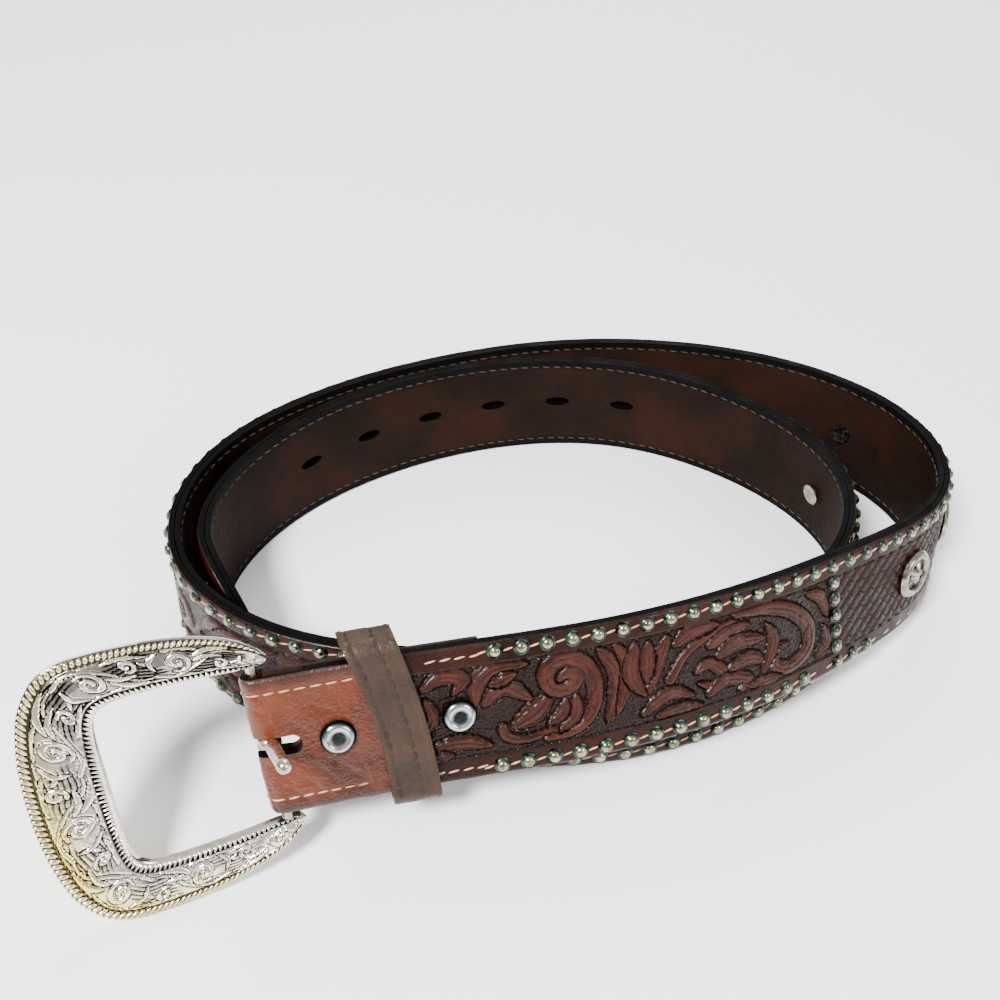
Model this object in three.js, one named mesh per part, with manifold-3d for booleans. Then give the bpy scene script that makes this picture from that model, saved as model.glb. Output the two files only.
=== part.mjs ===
// A western tooled leather belt, coiled on its lower edge, with a horseshoe buckle at its front left.
// Millimetres, +Z up. The buckle end is at the front left and the viewer looks along +Y.
import * as THREE from "three";
import Module from "manifold-3d";
import { mergeVertices } from "three/addons/utils/BufferGeometryUtils.js";

const wasm = await Module();
wasm.setup();

// strap
const strapLength = 1180;
const strapWidth = 38;
const faceThickness = 2;
const liningThickness = 1.7;
const layerGap = 0.3;
const pieceGap = 0.3;
const turnClearance = 3;
const flapLength = 60;
const foldSkew = 5;
const slotHeight = 5.2;
const slotEnd = 12;
const tipTaper = 26;
const stationStep = 8;

// adjusting holes, counted from the tip
const holeCount = 6;
const holePitch = 24.8;
const lastHoleFromTip = 92;
const holeLength = 9;
const holeHeight = 3.6;
const holeRise = 1;

// keeper and snaps
const keeperWidth = 13;
const keeperWall = 1.8;
const keeperFrontPlay = 0.4;
const keeperBackPlay = 4.2;
const keeperTopPlay = 4;
const keeperBottomPlay = 2.2;
const keeperBow = 1;
const keeperCorner = 2.4;
const keeperStation = 36.5;
const keeperSkew = 10;
const snapStations = [21, 53];
const snapDiameter = 9.4;
const snapHeight = 1.9;
const snapPostRadius = 1.6;
const snapBackRadius = 4.2;

// studs and dividers
const studDiameter = 4.2;
const studHeight = 1.5;
const studPitch = 7.16;
const studInset = 2.6;
const firstStud = 63.6;
const studSpareInColumn = 0.7;
const missingLowerStud = 14;

// conchos
const conchoDiameter = 15.8;
const conchoHeight = 1.9;
const conchoPostRadius = 1.9;
const conchoBackRadius = 3.6;
const conchoBackThickness = 0.9;
const conchoBackGap = 0.45;
const conchoPitch = 45;
const conchoForward = [2.5, 11, 0, -1.5];
const frontZoneMargin = 41.5;

// buckle and prong
const barRadius = 1.5;
const armClearance = 3.6;
const armWidth = 13.2;
const openingDepth = 40;
const endWidth = 19.5;
const buckleBack = 1.5;
const buckleFront = 2.4;
const buckleSwing = 3;
const prongLength = 44;
const prongWidth = 3.5;
const prongThickness = 3.2;
const prongRingPlay = 0.8;
const prongRingWall = 0.9;
const prongRingHeight = 2.8;
const prongOut = 92;
const prongTilt = 17;

// derived sizes
const coilRadius = strapLength / 10;
const stack = faceThickness + layerGap + liningThickness;
const middle = strapWidth / 2;
const faceOut = faceThickness;
const liningIn = -(layerGap + liningThickness);
const foldInner = barRadius + pieceGap;
const foldOuter = foldInner + faceThickness;
const barStation = foldOuter;
const barSide = -foldInner;
const flapOut = liningIn - pieceGap;
const flapIn = flapOut - faceThickness;
const pinchStation = barStation + 11;
const openHalf = middle + armClearance;
const buckleHalf = openHalf + armWidth;
const buckleReach = openingDepth + endWidth;
const rad = Math.PI / 180;

// The route of the strap's middle, seen from above, about the middle of the coil. Each row has a
// bearing in degrees, a reach as a share of the coil's radius, the lean of the strap's top towards
// the coil in degrees, the lift of its lower edge as a share of the buckle end's lift, and the
// number of turns that lie outside it.
const routeRows = [
  [227.6, 1.018, 28, 1, 0],
  [243.9, 0.711, 28, 1, 0],
  [276.8, 0.544, 27.5, 1.02, 0],
  [317.4, 0.573, 25, 0.96, 0],
  [347.6, 0.758, 18, 0.66, 0],
  [6.4, 1.024, 8, 0.26, 0],
  [25.2, 1.143, -4, 0, 0],
  [45, 1.045, -9.5, 0, 0],
  [66.7, 0.9, -9.8, 0, 0],
  [92.3, 0.803, -8.5, 0, 0],
  [120.6, 0.786, -7, 0, 0],
  [147, 0.875, -5, 0, 0],
  [169.4, 1.003, -3, 0, 0],
  [190.9, 1.016, 0, 0, 0],
  [211.9, 0.9, 5, 0, 1],
  [236.7, 0.66, 12, 0, 1],
  [276.9, 0.54, 20.5, 0, 1],
  [321.7, 0.596, 22.5, 0, 1],
  [353.5, 0.795, 15, 0, 1],
  [21.3, 0.898, 7, 0, 1],
  [49, 0.849, 2.5, 0, 1],
  [77.8, 0.81, 0.5, 0, 1],
  [108.1, 0.786, -2.5, 0, 1],
  [137.9, 0.836, -4.5, 0, 1],
  [163.8, 0.942, -3, 0, 1],
  [187.3, 1.016, -1, 0, 1],
  [208.7, 0.85, 1.5, 0, 1],
  [231, 0.66, 4, 0, 1],
];

// A smooth curve through the rows, with its length measured from the fold.
function makeRoute(foldLift) {
  const rows = routeRows.map(([bearing, share, lean, lift, inside]) => {
    const reach = share * coilRadius - inside * (stack + turnClearance);
    return [reach * Math.cos(bearing * rad), reach * Math.sin(bearing * rad), lean, lift * foldLift];
  });
  const last = rows.length - 1;
  const mirror = (a, b) => a.map((value, k) => 2 * value - b[k]);
  const row = (i) => {
    if (i < 0) return mirror(rows[0], rows[1]);
    if (i > last) return mirror(rows[last], rows[last - 1]);
    return rows[i];
  };
  const knots = rows.map((p, i) => p.map((v, k) => v - (row(i - 1)[k] - 2 * v + row(i + 1)[k]) / 6));
  knots.unshift(mirror(knots[0], knots[1]));
  knots.push(mirror(knots[last + 1], knots[last]));
  const table = [];
  const steps = 24;
  let length = 0;
  let heading = 0;
  for (let i = 0; i < last; i += 1) {
    for (let j = 0; j < steps; j += 1) {
      const t = j / steps;
      const w = [(1 - t) ** 3, 3 * t ** 3 - 6 * t ** 2 + 4, -3 * t ** 3 + 3 * t ** 2 + 3 * t + 1, t ** 3];
      const d = [-((1 - t) ** 2), 3 * t ** 2 - 4 * t, -3 * t ** 2 + 2 * t + 1, t ** 2];
      const sum = (k, c) => c.reduce((total, value, n) => total + value * knots[i + n][k], 0);
      const point = { x: sum(0, w) / 6, y: sum(1, w) / 6, lean: sum(2, w) / 6, lift: sum(3, w) / 6 };
      let turn = Math.atan2(sum(1, d), sum(0, d));
      while (turn < heading - Math.PI) turn += 2 * Math.PI;
      while (turn > heading + Math.PI) turn -= 2 * Math.PI;
      heading = turn;
      if (table.length) {
        const before = table[table.length - 1];
        length += Math.hypot(point.x - before.x, point.y - before.y);
      }
      table.push({ ...point, heading, length });
    }
  }
  return table;
}

// The point of the strap at a station along it, a distance out from its middle plane and a height
// above its lower edge. The skew of the fold fades out along the first stretch.
function makePlace(table) {
  const step = (from, to, t) => from + (to - from) * t;
  return (station, side, height) => {
    const fade = THREE.MathUtils.clamp((34 - station) / 24, 0, 1);
    const u = station - (height - middle) * Math.tan(foldSkew * rad) * fade;
    let low = 0;
    let high = table.length - 1;
    while (high - low > 1) {
      const half = (low + high) >> 1;
      if (table[half].length > u) high = half;
      else low = half;
    }
    const a = table[low];
    const b = table[high];
    const t = (u - a.length) / (b.length - a.length);
    const inside = THREE.MathUtils.clamp(t, 0, 1);
    const heading = step(a.heading, b.heading, inside);
    const lean = step(a.lean, b.lean, inside) * rad;
    const lift = Math.max(0, step(a.lift, b.lift, inside));
    const along = (t - inside) * (b.length - a.length);
    const x = step(a.x, b.x, inside) + Math.cos(heading) * along;
    const y = step(a.y, b.y, inside) + Math.sin(heading) * along;
    const out = side * Math.cos(lean) - (height - middle) * Math.sin(lean);
    const rise = lift + (stack / 2) * Math.abs(Math.sin(lean)) + middle * Math.cos(lean);
    const z = rise + (height - middle) * Math.cos(lean) + side * Math.sin(lean);
    return new THREE.Vector3(x + Math.sin(heading) * out, y - Math.cos(heading) * out, z);
  };
}

// The bar's own directions: along the bar, away from the strap, and out of the strap's face.
function makeBarFrame(place) {
  const centre = place(barStation, barSide, middle);
  const top = place(barStation, barSide, strapWidth);
  const bottom = place(barStation, barSide, 0);
  const outer = place(barStation, barSide + 10, middle);
  const axis = top.clone().sub(bottom).normalize();
  const out = outer.clone().sub(centre).normalize();
  const away = axis.clone().cross(out).normalize().negate();
  out.crossVectors(axis, away).normalize();
  away.applyAxisAngle(axis, buckleSwing * rad);
  out.applyAxisAngle(axis, buckleSwing * rad);
  return { centre, axis, away, out };
}

// Half of the horseshoe, from the arm's tip to the far end: inner edge away from the bar and along
// it, as shares of the opening's depth and half height, then outer edge as shares of the buckle's
// reach and half height.
const buckleRows = [
  [-0.08, 0.956, -0.074, 0.648],
  [-0.01, 0.956, -0.027, 0.737],
  [0.1, 0.96, 0.061, 0.835],
  [0.25, 0.982, 0.185, 0.913],
  [0.425, 1, 0.336, 0.966],
  [0.6, 1.013, 0.487, 0.994],
  [0.75, 1.013, 0.622, 1.003],
  [0.862, 0.996, 0.739, 0.992],
  [0.94, 0.938, 0.824, 0.941],
  [0.98, 0.823, 0.887, 0.838],
  [0.995, 0.642, 0.941, 0.682],
  [1, 0.398, 0.98, 0.433],
  [1, 0.177, 0.997, 0.182],
  [1, 0, 1, 0],
];

// The frame's section from its inner to its outer edge, as shares of its width, its back and front.
const buckleSection = [
  [0, -1],
  [1, -1],
  [1, 0.25],
  [0.86, 0.8],
  [0.5, 1],
  [0.14, 0.8],
  [0, 0.25],
];

function buckleSections(bar) {
  const lower = buckleRows.map(([ib, ia, ob, oa]) => [ib, -ia, ob, -oa]);
  const rows = lower.concat(buckleRows.slice(0, -1).reverse());
  return rows.map(([ib, ia, ob, oa], i) => {
    const inner = [ib * openingDepth, ia * openHalf];
    const outer = [ob * buckleReach, oa * buckleHalf];
    const tip = i === 0 || i === rows.length - 1 ? 0.6 : 1;
    return buckleSection.map(([across, level]) => {
      const b = inner[0] + (outer[0] - inner[0]) * across;
      const a = inner[1] + (outer[1] - inner[1]) * across;
      const n = (level < 0 ? level * buckleBack : level * buckleFront) * tip;
      return inBar(bar, b, a, n);
    });
  });
}

function inBar(bar, b, a, n) {
  const point = bar.centre.clone().addScaledVector(bar.away, b);
  return point.addScaledVector(bar.axis, a).addScaledVector(bar.out, n);
}

// The buckle end is lifted until the buckle's lowest edge stands on the same plane as the strap.
const lowPlace = makePlace(makeRoute(0));
const lowest = Math.min(...buckleSections(makeBarFrame(lowPlace)).flat().map((p) => p.z));
const place = makePlace(makeRoute(-lowest));
const bar = makeBarFrame(place);

// A closed solid through sections of equal count, either capped at both ends or joined to a ring.
function loft(sections, ring = false) {
  const count = sections[0].length;
  const positions = sections.flat().flatMap((p) => [p.x, p.y, p.z]);
  const indices = [];
  const turns = ring ? sections.length : sections.length - 1;
  for (let i = 0; i < turns; i += 1) {
    const next = ((i + 1) % sections.length) * count;
    for (let j = 0; j < count; j += 1) {
      const k = (j + 1) % count;
      indices.push(i * count + j, i * count + k, next + k);
      indices.push(i * count + j, next + k, next + j);
    }
  }
  if (!ring) {
    const end = (sections.length - 1) * count;
    for (let j = 1; j < count - 1; j += 1) {
      indices.push(0, j + 1, j);
      indices.push(end, end + j, end + j + 1);
    }
  }
  const geometry = new THREE.BufferGeometry();
  geometry.setAttribute("position", new THREE.Float32BufferAttribute(positions, 3));
  geometry.setIndex(indices);
  return outward(geometry);
}

// Faces turned out of the solid, after its shared corners are merged and empty faces dropped.
function outward(geometry) {
  const source = geometry.clone();
  source.deleteAttribute("normal");
  source.deleteAttribute("uv");
  const merged = mergeVertices(source, 1e-5);
  const position = merged.getAttribute("position");
  const index = merged.getIndex().array;
  const a = new THREE.Vector3();
  const b = new THREE.Vector3();
  const c = new THREE.Vector3();
  const kept = [];
  let volume = 0;
  for (let i = 0; i < index.length; i += 3) {
    const [p, q, r] = [index[i], index[i + 1], index[i + 2]];
    if (p === q || q === r || r === p) continue;
    a.fromBufferAttribute(position, p);
    b.fromBufferAttribute(position, q);
    c.fromBufferAttribute(position, r);
    volume += a.dot(b.clone().cross(c));
    kept.push(p, q, r);
  }
  if (volume < 0) kept.reverse();
  merged.setIndex(kept);
  merged.computeVertexNormals();
  return merged;
}

function toSolid(geometry) {
  const vertProperties = new Float32Array(geometry.getAttribute("position").array);
  const triVerts = new Uint32Array(geometry.getIndex().array);
  return new wasm.Manifold(new wasm.Mesh({ numProp: 3, vertProperties, triVerts }));
}

function fromSolid(solid) {
  const mesh = solid.getMesh();
  const geometry = new THREE.BufferGeometry();
  geometry.setAttribute("position", new THREE.BufferAttribute(new Float32Array(mesh.vertProperties), 3));
  geometry.setIndex(Array.from(mesh.triVerts));
  geometry.computeVertexNormals();
  return geometry;
}

function cut(geometry, cutters) {
  let solid = toSolid(geometry);
  for (const cutter of cutters) solid = solid.subtract(toSolid(cutter));
  return fromSolid(solid);
}

function join(first, second) {
  return fromSolid(toSolid(first).add(toSolid(second)));
}

// An oval cutter through the strap, which follows its surface.
function oval(station, height, halfLength, halfHeight, from, to, count = 12) {
  const loop = (side) => Array.from({ length: count }, (_, i) => {
    const angle = (2 * Math.PI * (i + 0.5)) / count;
    return place(station + halfLength * Math.cos(angle), side, height + halfHeight * Math.sin(angle));
  });
  return loft([loop(from), loop(to)]);
}

// The prong's slot, open at the fold and round at its end.
function slot() {
  const radius = slotHeight / 2;
  const outline = [[-8, -radius], [slotEnd - radius, -radius]];
  for (const angle of [-60, -30, 0, 30, 60]) {
    outline.push([
      slotEnd - radius + radius * Math.cos(angle * rad),
      radius * Math.sin(angle * rad),
    ]);
  }
  outline.push([slotEnd - radius, radius], [-8, radius]);
  const loop = (side) => outline.map(([u, h]) => place(u, side, middle + h));
  return loft([loop(barSide - foldOuter - 3), loop(faceOut + 3)]);
}

// Stations along the strap, closer over the pointed tip.
function stations(from) {
  const list = [];
  for (let u = from; u < strapLength - tipTaper - 3; u += stationStep) list.push(u);
  for (const share of [1, 0.78, 0.56, 0.36, 0.2, 0.08, 0]) list.push(strapLength - tipTaper * share);
  return list;
}

function halfWidthAt(u) {
  const left = (strapLength - u) / tipTaper;
  if (left >= 1) return middle;
  return middle * Math.max(0.16, Math.sin((Math.PI / 2) * Math.pow(Math.max(0, left), 0.72)));
}

function band(u, outerSide, innerSide, edge = 1) {
  const half = halfWidthAt(u) * edge;
  return [
    place(u, outerSide, middle - half),
    place(u, outerSide, middle + half),
    place(u, innerSide, middle + half),
    place(u, innerSide, middle - half),
  ];
}

function foldBand(outer, inner) {
  return [
    place(outer[0], outer[1], 0),
    place(outer[0], outer[1], strapWidth),
    place(inner[0], inner[1], strapWidth),
    place(inner[0], inner[1], 0),
  ];
}

function faceSections() {
  const sections = [];
  for (const share of [1, 0.8, 0.6, 0.4, 0.2, 0.1, 0]) {
    const u = pinchStation + (flapLength - pinchStation) * share;
    sections.push(foldBand([u, flapIn], [u, flapOut]));
  }
  for (const share of [0.75, 0.5, 0.25]) {
    const u = barStation + (pinchStation - barStation) * share;
    const ease = 1 - share * share * (3 - 2 * share);
    const outer = flapIn + (barSide - foldOuter - flapIn) * ease;
    const inner = flapOut + (barSide - foldInner - flapOut) * ease;
    sections.push(foldBand([u, outer], [u, inner]));
  }
  for (let i = 0; i <= 8; i += 1) {
    const angle = Math.PI * (1 - i / 8);
    const at = (r) => [barStation - r * Math.sin(angle), barSide + r * Math.cos(angle)];
    sections.push(foldBand(at(foldOuter), at(foldInner)));
  }
  for (const u of stations(barStation + 4)) sections.push(band(u, faceOut, 0));
  return sections;
}

const holeStations = Array.from({ length: holeCount }, (_, i) => strapLength - lastHoleFromTip - i * holePitch);
const conchoHoles = conchoPostRadius + pieceGap;
const snapHoles = snapPostRadius + pieceGap;

// stud grid: whole pitches from the first stud to each divider
const studAt = (i) => firstStud + i * studPitch;
const divider1 = 15;
const divider2 = divider1 + Math.round((2 * frontZoneMargin + 2 * conchoPitch) / studPitch);
const divider3 = Math.round((strapLength * 0.7214 - firstStud) / studPitch);
const divider4 = divider3 + 8;
const rowSplit = Math.round((divider2 + divider3) / 2);
const zoneMiddle = (studAt(divider1) + studAt(divider2)) / 2;
const conchoStations = {
  concho_a1: zoneMiddle - conchoPitch - conchoForward[0],
  concho_a2: zoneMiddle - conchoForward[1],
  concho_a3: zoneMiddle + conchoPitch - conchoForward[2],
  concho_b1: (studAt(divider3) + studAt(divider4)) / 2 - conchoForward[3],
};

function strapCutters(withSlot) {
  const cutters = [];
  for (const u of holeStations) {
    cutters.push(oval(u, middle + holeRise, holeLength / 2, holeHeight / 2, liningIn - 2, faceOut + 2));
  }
  for (const u of Object.values(conchoStations)) {
    cutters.push(oval(u, middle, conchoHoles, conchoHoles, liningIn - 2, faceOut + 2));
  }
  for (const u of snapStations) {
    cutters.push(oval(u, middle, snapHoles, snapHoles, flapIn - 2, faceOut + 2));
  }
  if (withSlot) cutters.push(slot());
  return cutters;
}

// A turned piece whose axis stands square on the strap, its profile rising from the face.
function turned(profile, station, side, count) {
  const points = profile.map(([radius, rise]) => new THREE.Vector2(radius, rise));
  const geometry = outward(new THREE.LatheGeometry(points, count));
  const origin = place(station, side, middle);
  const normal = place(station, side + 5, middle).sub(origin).normalize();
  const along = place(station + 0.5, side, middle).sub(place(station - 0.5, side, middle)).normalize();
  const third = along.clone().cross(normal).normalize();
  along.crossVectors(normal, third);
  geometry.applyMatrix4(new THREE.Matrix4().makeBasis(along, normal, third).setPosition(origin));
  return outward(geometry);
}

// How far the face rises over its own tangent plane under a disc, where the strap bends inwards.
function seatRise(station, radius) {
  const origin = place(station, faceOut, middle);
  const normal = place(station, faceOut + 5, middle).sub(origin).normalize();
  const steps = Array.from({ length: 12 }, (_, i) => i * 30 * rad);
  const rises = steps.map((turn) => {
    const point = place(station + radius * Math.cos(turn), faceOut, middle + radius * Math.sin(turn));
    return point.sub(origin).dot(normal);
  });
  return Math.max(0, ...rises);
}

function concho(station) {
  const radius = conchoDiameter / 2;
  const rise = seatRise(station, radius);
  const backIn = -(faceOut - liningIn) - pieceGap - conchoBackGap - conchoBackThickness - rise;
  const backOut = backIn + conchoBackThickness;
  const profile = [
    [0, backIn],
    [conchoBackRadius, backIn],
    [conchoBackRadius, backOut],
    [conchoPostRadius, backOut],
    [conchoPostRadius, 0],
    [radius * 0.97, 0],
    [radius, conchoHeight * 0.3],
    [radius * 0.88, conchoHeight],
    [radius * 0.7, conchoHeight * 0.85],
    [radius * 0.62, conchoHeight * 0.45],
    [radius * 0.25, conchoHeight * 0.75],
    [0, conchoHeight * 0.9],
  ];
  return turned(profile, station, faceOut + pieceGap + rise, 16);
}

function snap(station) {
  const radius = snapDiameter / 2;
  const backOut = flapIn - faceOut - 2 * pieceGap;
  const profile = [
    [0, backOut - 0.9],
    [snapBackRadius, backOut - 0.9],
    [snapBackRadius, backOut],
    [snapPostRadius, backOut],
    [snapPostRadius, 0],
    [radius, 0],
    [radius, snapHeight * 0.3],
    [radius * 0.66, snapHeight],
    [radius * 0.56, snapHeight * 0.86],
    [0, snapHeight * 0.86],
  ];
  return turned(profile, station, faceOut + pieceGap, 16);
}

// A row of studs joined by the thin link that runs through them.
function studRow(from, to, height, missing = -1) {
  const sections = [];
  const base = faceOut + pieceGap;
  const add = (u, half, rise) => sections.push([
    place(u, base, height - half),
    place(u, base, height + half),
    place(u, base + rise, height),
  ]);
  for (let i = from; i <= to; i += 1) {
    if (i === missing) continue;
    const radius = studDiameter / 2;
    add(studAt(i) - radius, 0.5, 0.4);
    add(studAt(i) - radius * 0.42, radius, studHeight);
    add(studAt(i) + radius * 0.42, radius, studHeight);
    add(studAt(i) + radius, 0.5, 0.4);
  }
  return loft(sections);
}

// A column of studs across the strap between the two rows.
function studColumn(index) {
  const sections = [];
  const base = faceOut + pieceGap;
  const run = strapWidth - 2 * studInset;
  const spaces = Math.floor(run / (studDiameter + studSpareInColumn));
  const radius = studDiameter / 2;
  const add = (height, half, rise) => sections.push([
    place(studAt(index) - half, base, height),
    place(studAt(index) + half, base, height),
    place(studAt(index), base + rise, height),
  ]);
  for (let i = 1; i < spaces; i += 1) {
    const height = studInset + (run * i) / spaces;
    add(height - radius, 0.5, 0.4);
    add(height - radius * 0.42, radius, studHeight);
    add(height + radius * 0.42, radius, studHeight);
    add(height + radius, 0.5, 0.4);
  }
  return loft(sections);
}

// The keeper is a closed leather loop round the strap, its lining and the flap, with room to slide.
function keeper() {
  const far = keeperCorner + keeperWall;
  const top = middle + keeperTopPlay - keeperCorner;
  const bottom = -(middle + keeperBottomPlay - keeperCorner);
  const front = faceOut + keeperFrontPlay - keeperCorner;
  const back = flapIn - keeperBackPlay + keeperCorner;
  const corners = [[front, top, 0], [back, top, 90], [back, bottom, 180], [front, bottom, 270]];
  const around = corners.flatMap(([side, height, start]) => [0, 30, 60, 90].map((turn) => {
    return { side, height, angle: (start + turn) * rad };
  }));
  for (const share of [0.75, 0.5, 0.25]) {
    around.push({ side: front, height: bottom + (top - bottom) * (1 - share), angle: 0 });
  }
  const sections = around.map(({ side, height, angle }) => {
    const at = (edge, r) => {
      const h = height + r * Math.sin(angle);
      const bow = keeperBow * (1 - (h / middle) ** 2);
      const u = keeperStation - Math.tan(keeperSkew * rad) * h + bow + (edge * keeperWidth) / 2;
      return place(u, side + r * Math.cos(angle), middle + h);
    };
    return [at(-1, keeperCorner), at(-1, far), at(1, far), at(1, keeperCorner)];
  });
  return loft(sections, true);
}

function buckle() {
  const frame = loft(buckleSections(bar));
  const rod = new THREE.CylinderGeometry(barRadius, barRadius, 2 * (openHalf + 1.2), 14);
  const basis = new THREE.Matrix4().makeBasis(bar.away, bar.axis, bar.away.clone().cross(bar.axis));
  rod.applyMatrix4(basis.setPosition(bar.centre));
  return join(frame, outward(rod));
}

// The prong's ring has play on the bar, so the prong stands a little tilted on it.
function prong() {
  const inner = barRadius + prongRingPlay;
  const outer = inner + prongRingWall;
  const half = prongRingHeight / 2;
  const angle = prongOut * rad;
  const tilt = prongTilt * rad;
  const flat = bar.away.clone().multiplyScalar(Math.cos(angle)).addScaledVector(bar.out, Math.sin(angle));
  const across = bar.axis.clone().cross(flat).normalize();
  const along = flat.clone().applyAxisAngle(across, -tilt);
  const spin = bar.axis.clone().applyAxisAngle(across, -tilt);
  const profile = [[inner, -half], [outer, -half], [outer, half], [inner, half], [inner, -half]];
  const ring = new THREE.LatheGeometry(profile.map(([x, y]) => new THREE.Vector2(x, y)), 16);
  const basis = new THREE.Matrix4().makeBasis(along, spin, along.clone().cross(spin));
  ring.applyMatrix4(basis.setPosition(bar.centre));
  const start = inner + prongRingWall * 0.5;
  const rows = [[0, 0.66], [0.07, 0.72], [0.16, 1], [0.8, 0.9], [0.95, 0.9], [0.985, 0.66], [1, 0.3]];
  const sections = rows.map(([share, size]) => {
    const centre = bar.centre.clone().addScaledVector(along, start + (prongLength - start) * share);
    return Array.from({ length: 10 }, (_, i) => {
      const turn = (2 * Math.PI * (i + 0.5)) / 10;
      const wide = (prongWidth / 2) * size * Math.cos(turn);
      const thick = (prongThickness / 2) * size * Math.sin(turn);
      return centre.clone().addScaledVector(spin, wide).addScaledVector(across, thick);
    });
  });
  return join(outward(ring), loft(sections));
}

const leather = { roughness: 0.62, metalness: 0 };
const metal = { roughness: 0.32, metalness: 0.9 };
const paints = {
  tooled: { color: 0x5c3028, ...leather },
  lining: { color: 0x3a261a, ...leather },
  keeper: { color: 0x65503e, ...leather },
  buckle: { color: 0xb4afa2, ...metal },
  nickel: { color: 0xa9a9a6, ...metal },
  stud: { color: 0x6f7f70, ...metal },
  concho: { color: 0x8e8b82, ...metal },
};

const belt = new THREE.Group();

function add(name, geometry, paint) {
  const mesh = new THREE.Mesh(geometry, new THREE.MeshStandardMaterial(paints[paint]));
  mesh.name = name;
  belt.add(mesh);
}

add("strap_face", cut(loft(faceSections()), strapCutters(true)), "tooled");
// The lining's sections stand at the face's own stations, so the two layers stay a gap apart.
const liningStations = stations(barStation + 4).filter((u) => u > slotEnd + 2);
const liningSections = liningStations.map((u) => band(u, -layerGap, liningIn, -1));
add("strap_lining", cut(loft(liningSections), strapCutters(false)), "lining");
add("keeper", keeper(), "keeper");
add("buckle_frame", buckle(), "buckle");
add("prong", prong(), "nickel");
snapStations.forEach((u, i) => add(`snap_cap_${i + 1}`, snap(u), "nickel"));
for (const [name, u] of Object.entries(conchoStations)) add(name, concho(u), "concho");
const upper = strapWidth - studInset;
const lower = studInset;
add("stud_row_upper_panel", studRow(0, divider1, upper), "stud");
add("stud_row_upper_bend", studRow(divider1 + 1, divider2, upper), "stud");
add("stud_row_upper_rear", studRow(divider2 + 1, rowSplit, upper), "stud");
add("stud_row_upper_inner", studRow(rowSplit + 1, divider3, upper), "stud");
add("stud_row_upper_last", studRow(divider3 + 1, divider4, upper), "stud");
add("stud_row_lower_panel", studRow(0, divider1 + 2, lower, missingLowerStud), "stud");
add("stud_row_lower_rear", studRow(divider2, rowSplit, lower), "stud");
add("stud_row_lower_inner", studRow(rowSplit + 1, divider3, lower), "stud");
[divider1, divider2, divider3, divider4].forEach((index, i) => {
  add(`divider_${i + 1}`, studColumn(index), "stud");
});

// The origin is under the middle of the whole belt, on the plane that it stands on.
belt.updateMatrixWorld(true);
const box = new THREE.Box3().setFromObject(belt, true);
belt.position.set(-(box.min.x + box.max.x) / 2, -(box.min.y + box.max.y) / 2, -box.min.z);
belt.updateMatrixWorld(true);

export default belt;
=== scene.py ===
"""A western tooled belt, coiled on its lower edge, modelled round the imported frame.

The strap's leather, threads and studs are made flat, as they are at the bench: x runs along the
strap from the fold, y up from its lower edge and z out of its face, all in millimetres. Each piece
is then carried onto the coiled route that the frame has.
"""
import math

import bpy
import numpy as np
from mathutils import Matrix, Vector


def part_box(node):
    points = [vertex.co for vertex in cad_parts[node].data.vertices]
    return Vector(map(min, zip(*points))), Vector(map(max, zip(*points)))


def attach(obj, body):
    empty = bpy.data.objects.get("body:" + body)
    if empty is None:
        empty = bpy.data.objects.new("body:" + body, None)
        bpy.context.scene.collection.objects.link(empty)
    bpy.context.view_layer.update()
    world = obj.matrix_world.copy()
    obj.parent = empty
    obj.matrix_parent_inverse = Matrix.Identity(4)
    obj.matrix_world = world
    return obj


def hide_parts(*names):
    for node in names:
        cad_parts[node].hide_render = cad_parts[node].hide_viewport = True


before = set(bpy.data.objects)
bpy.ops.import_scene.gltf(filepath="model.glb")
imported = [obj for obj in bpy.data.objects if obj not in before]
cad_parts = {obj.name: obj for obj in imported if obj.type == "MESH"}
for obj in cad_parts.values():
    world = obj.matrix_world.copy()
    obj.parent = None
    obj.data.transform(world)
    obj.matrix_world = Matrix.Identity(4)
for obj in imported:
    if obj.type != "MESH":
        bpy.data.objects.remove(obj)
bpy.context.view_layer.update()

# strap
STRAP_LENGTH = 1180.0
STRAP_WIDTH = 38.0
FACE = 2.0
LINING_TOP = -0.3
LINING_IN = -2.0
MIDDLE = STRAP_WIDTH / 2
FOLD_SKEW = math.tan(math.radians(5))
FOLD_LIFT = 17.374
TIP_TAPER = 26.0
BAR_RADIUS = 1.5
FOLD_INNER = 1.8
FOLD_OUTER = FOLD_INNER + FACE
FLAP_TOP = -2.3
FLAP_LENGTH = 60.0
HOLES = [STRAP_LENGTH - 92 - i * 24.8 for i in range(6)]
STACK = FACE - LINING_IN
BUCKLE_SWING = math.radians(3)
LINING_START = 15.8
FLAP_START = -7.5
FOLD_END = 38.0
BORDER = 6.3
SEAM_PITCH = 4.0
SEAT = 0.3
VINE_RUN = 56

# studs and zones
STUD_PITCH = 7.16
FIRST_STUD = 63.6
STUD_INSET = 2.6
DIVIDERS = [15, 39, 110, 118]
CONCHOS = {"concho_a1": 209.42, "concho_a2": 245.92, "concho_a3": 301.92, "concho_b1": 881.34}
SNAPS = {"snap_cap_1": 21.0, "snap_cap_2": 53.0}

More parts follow.
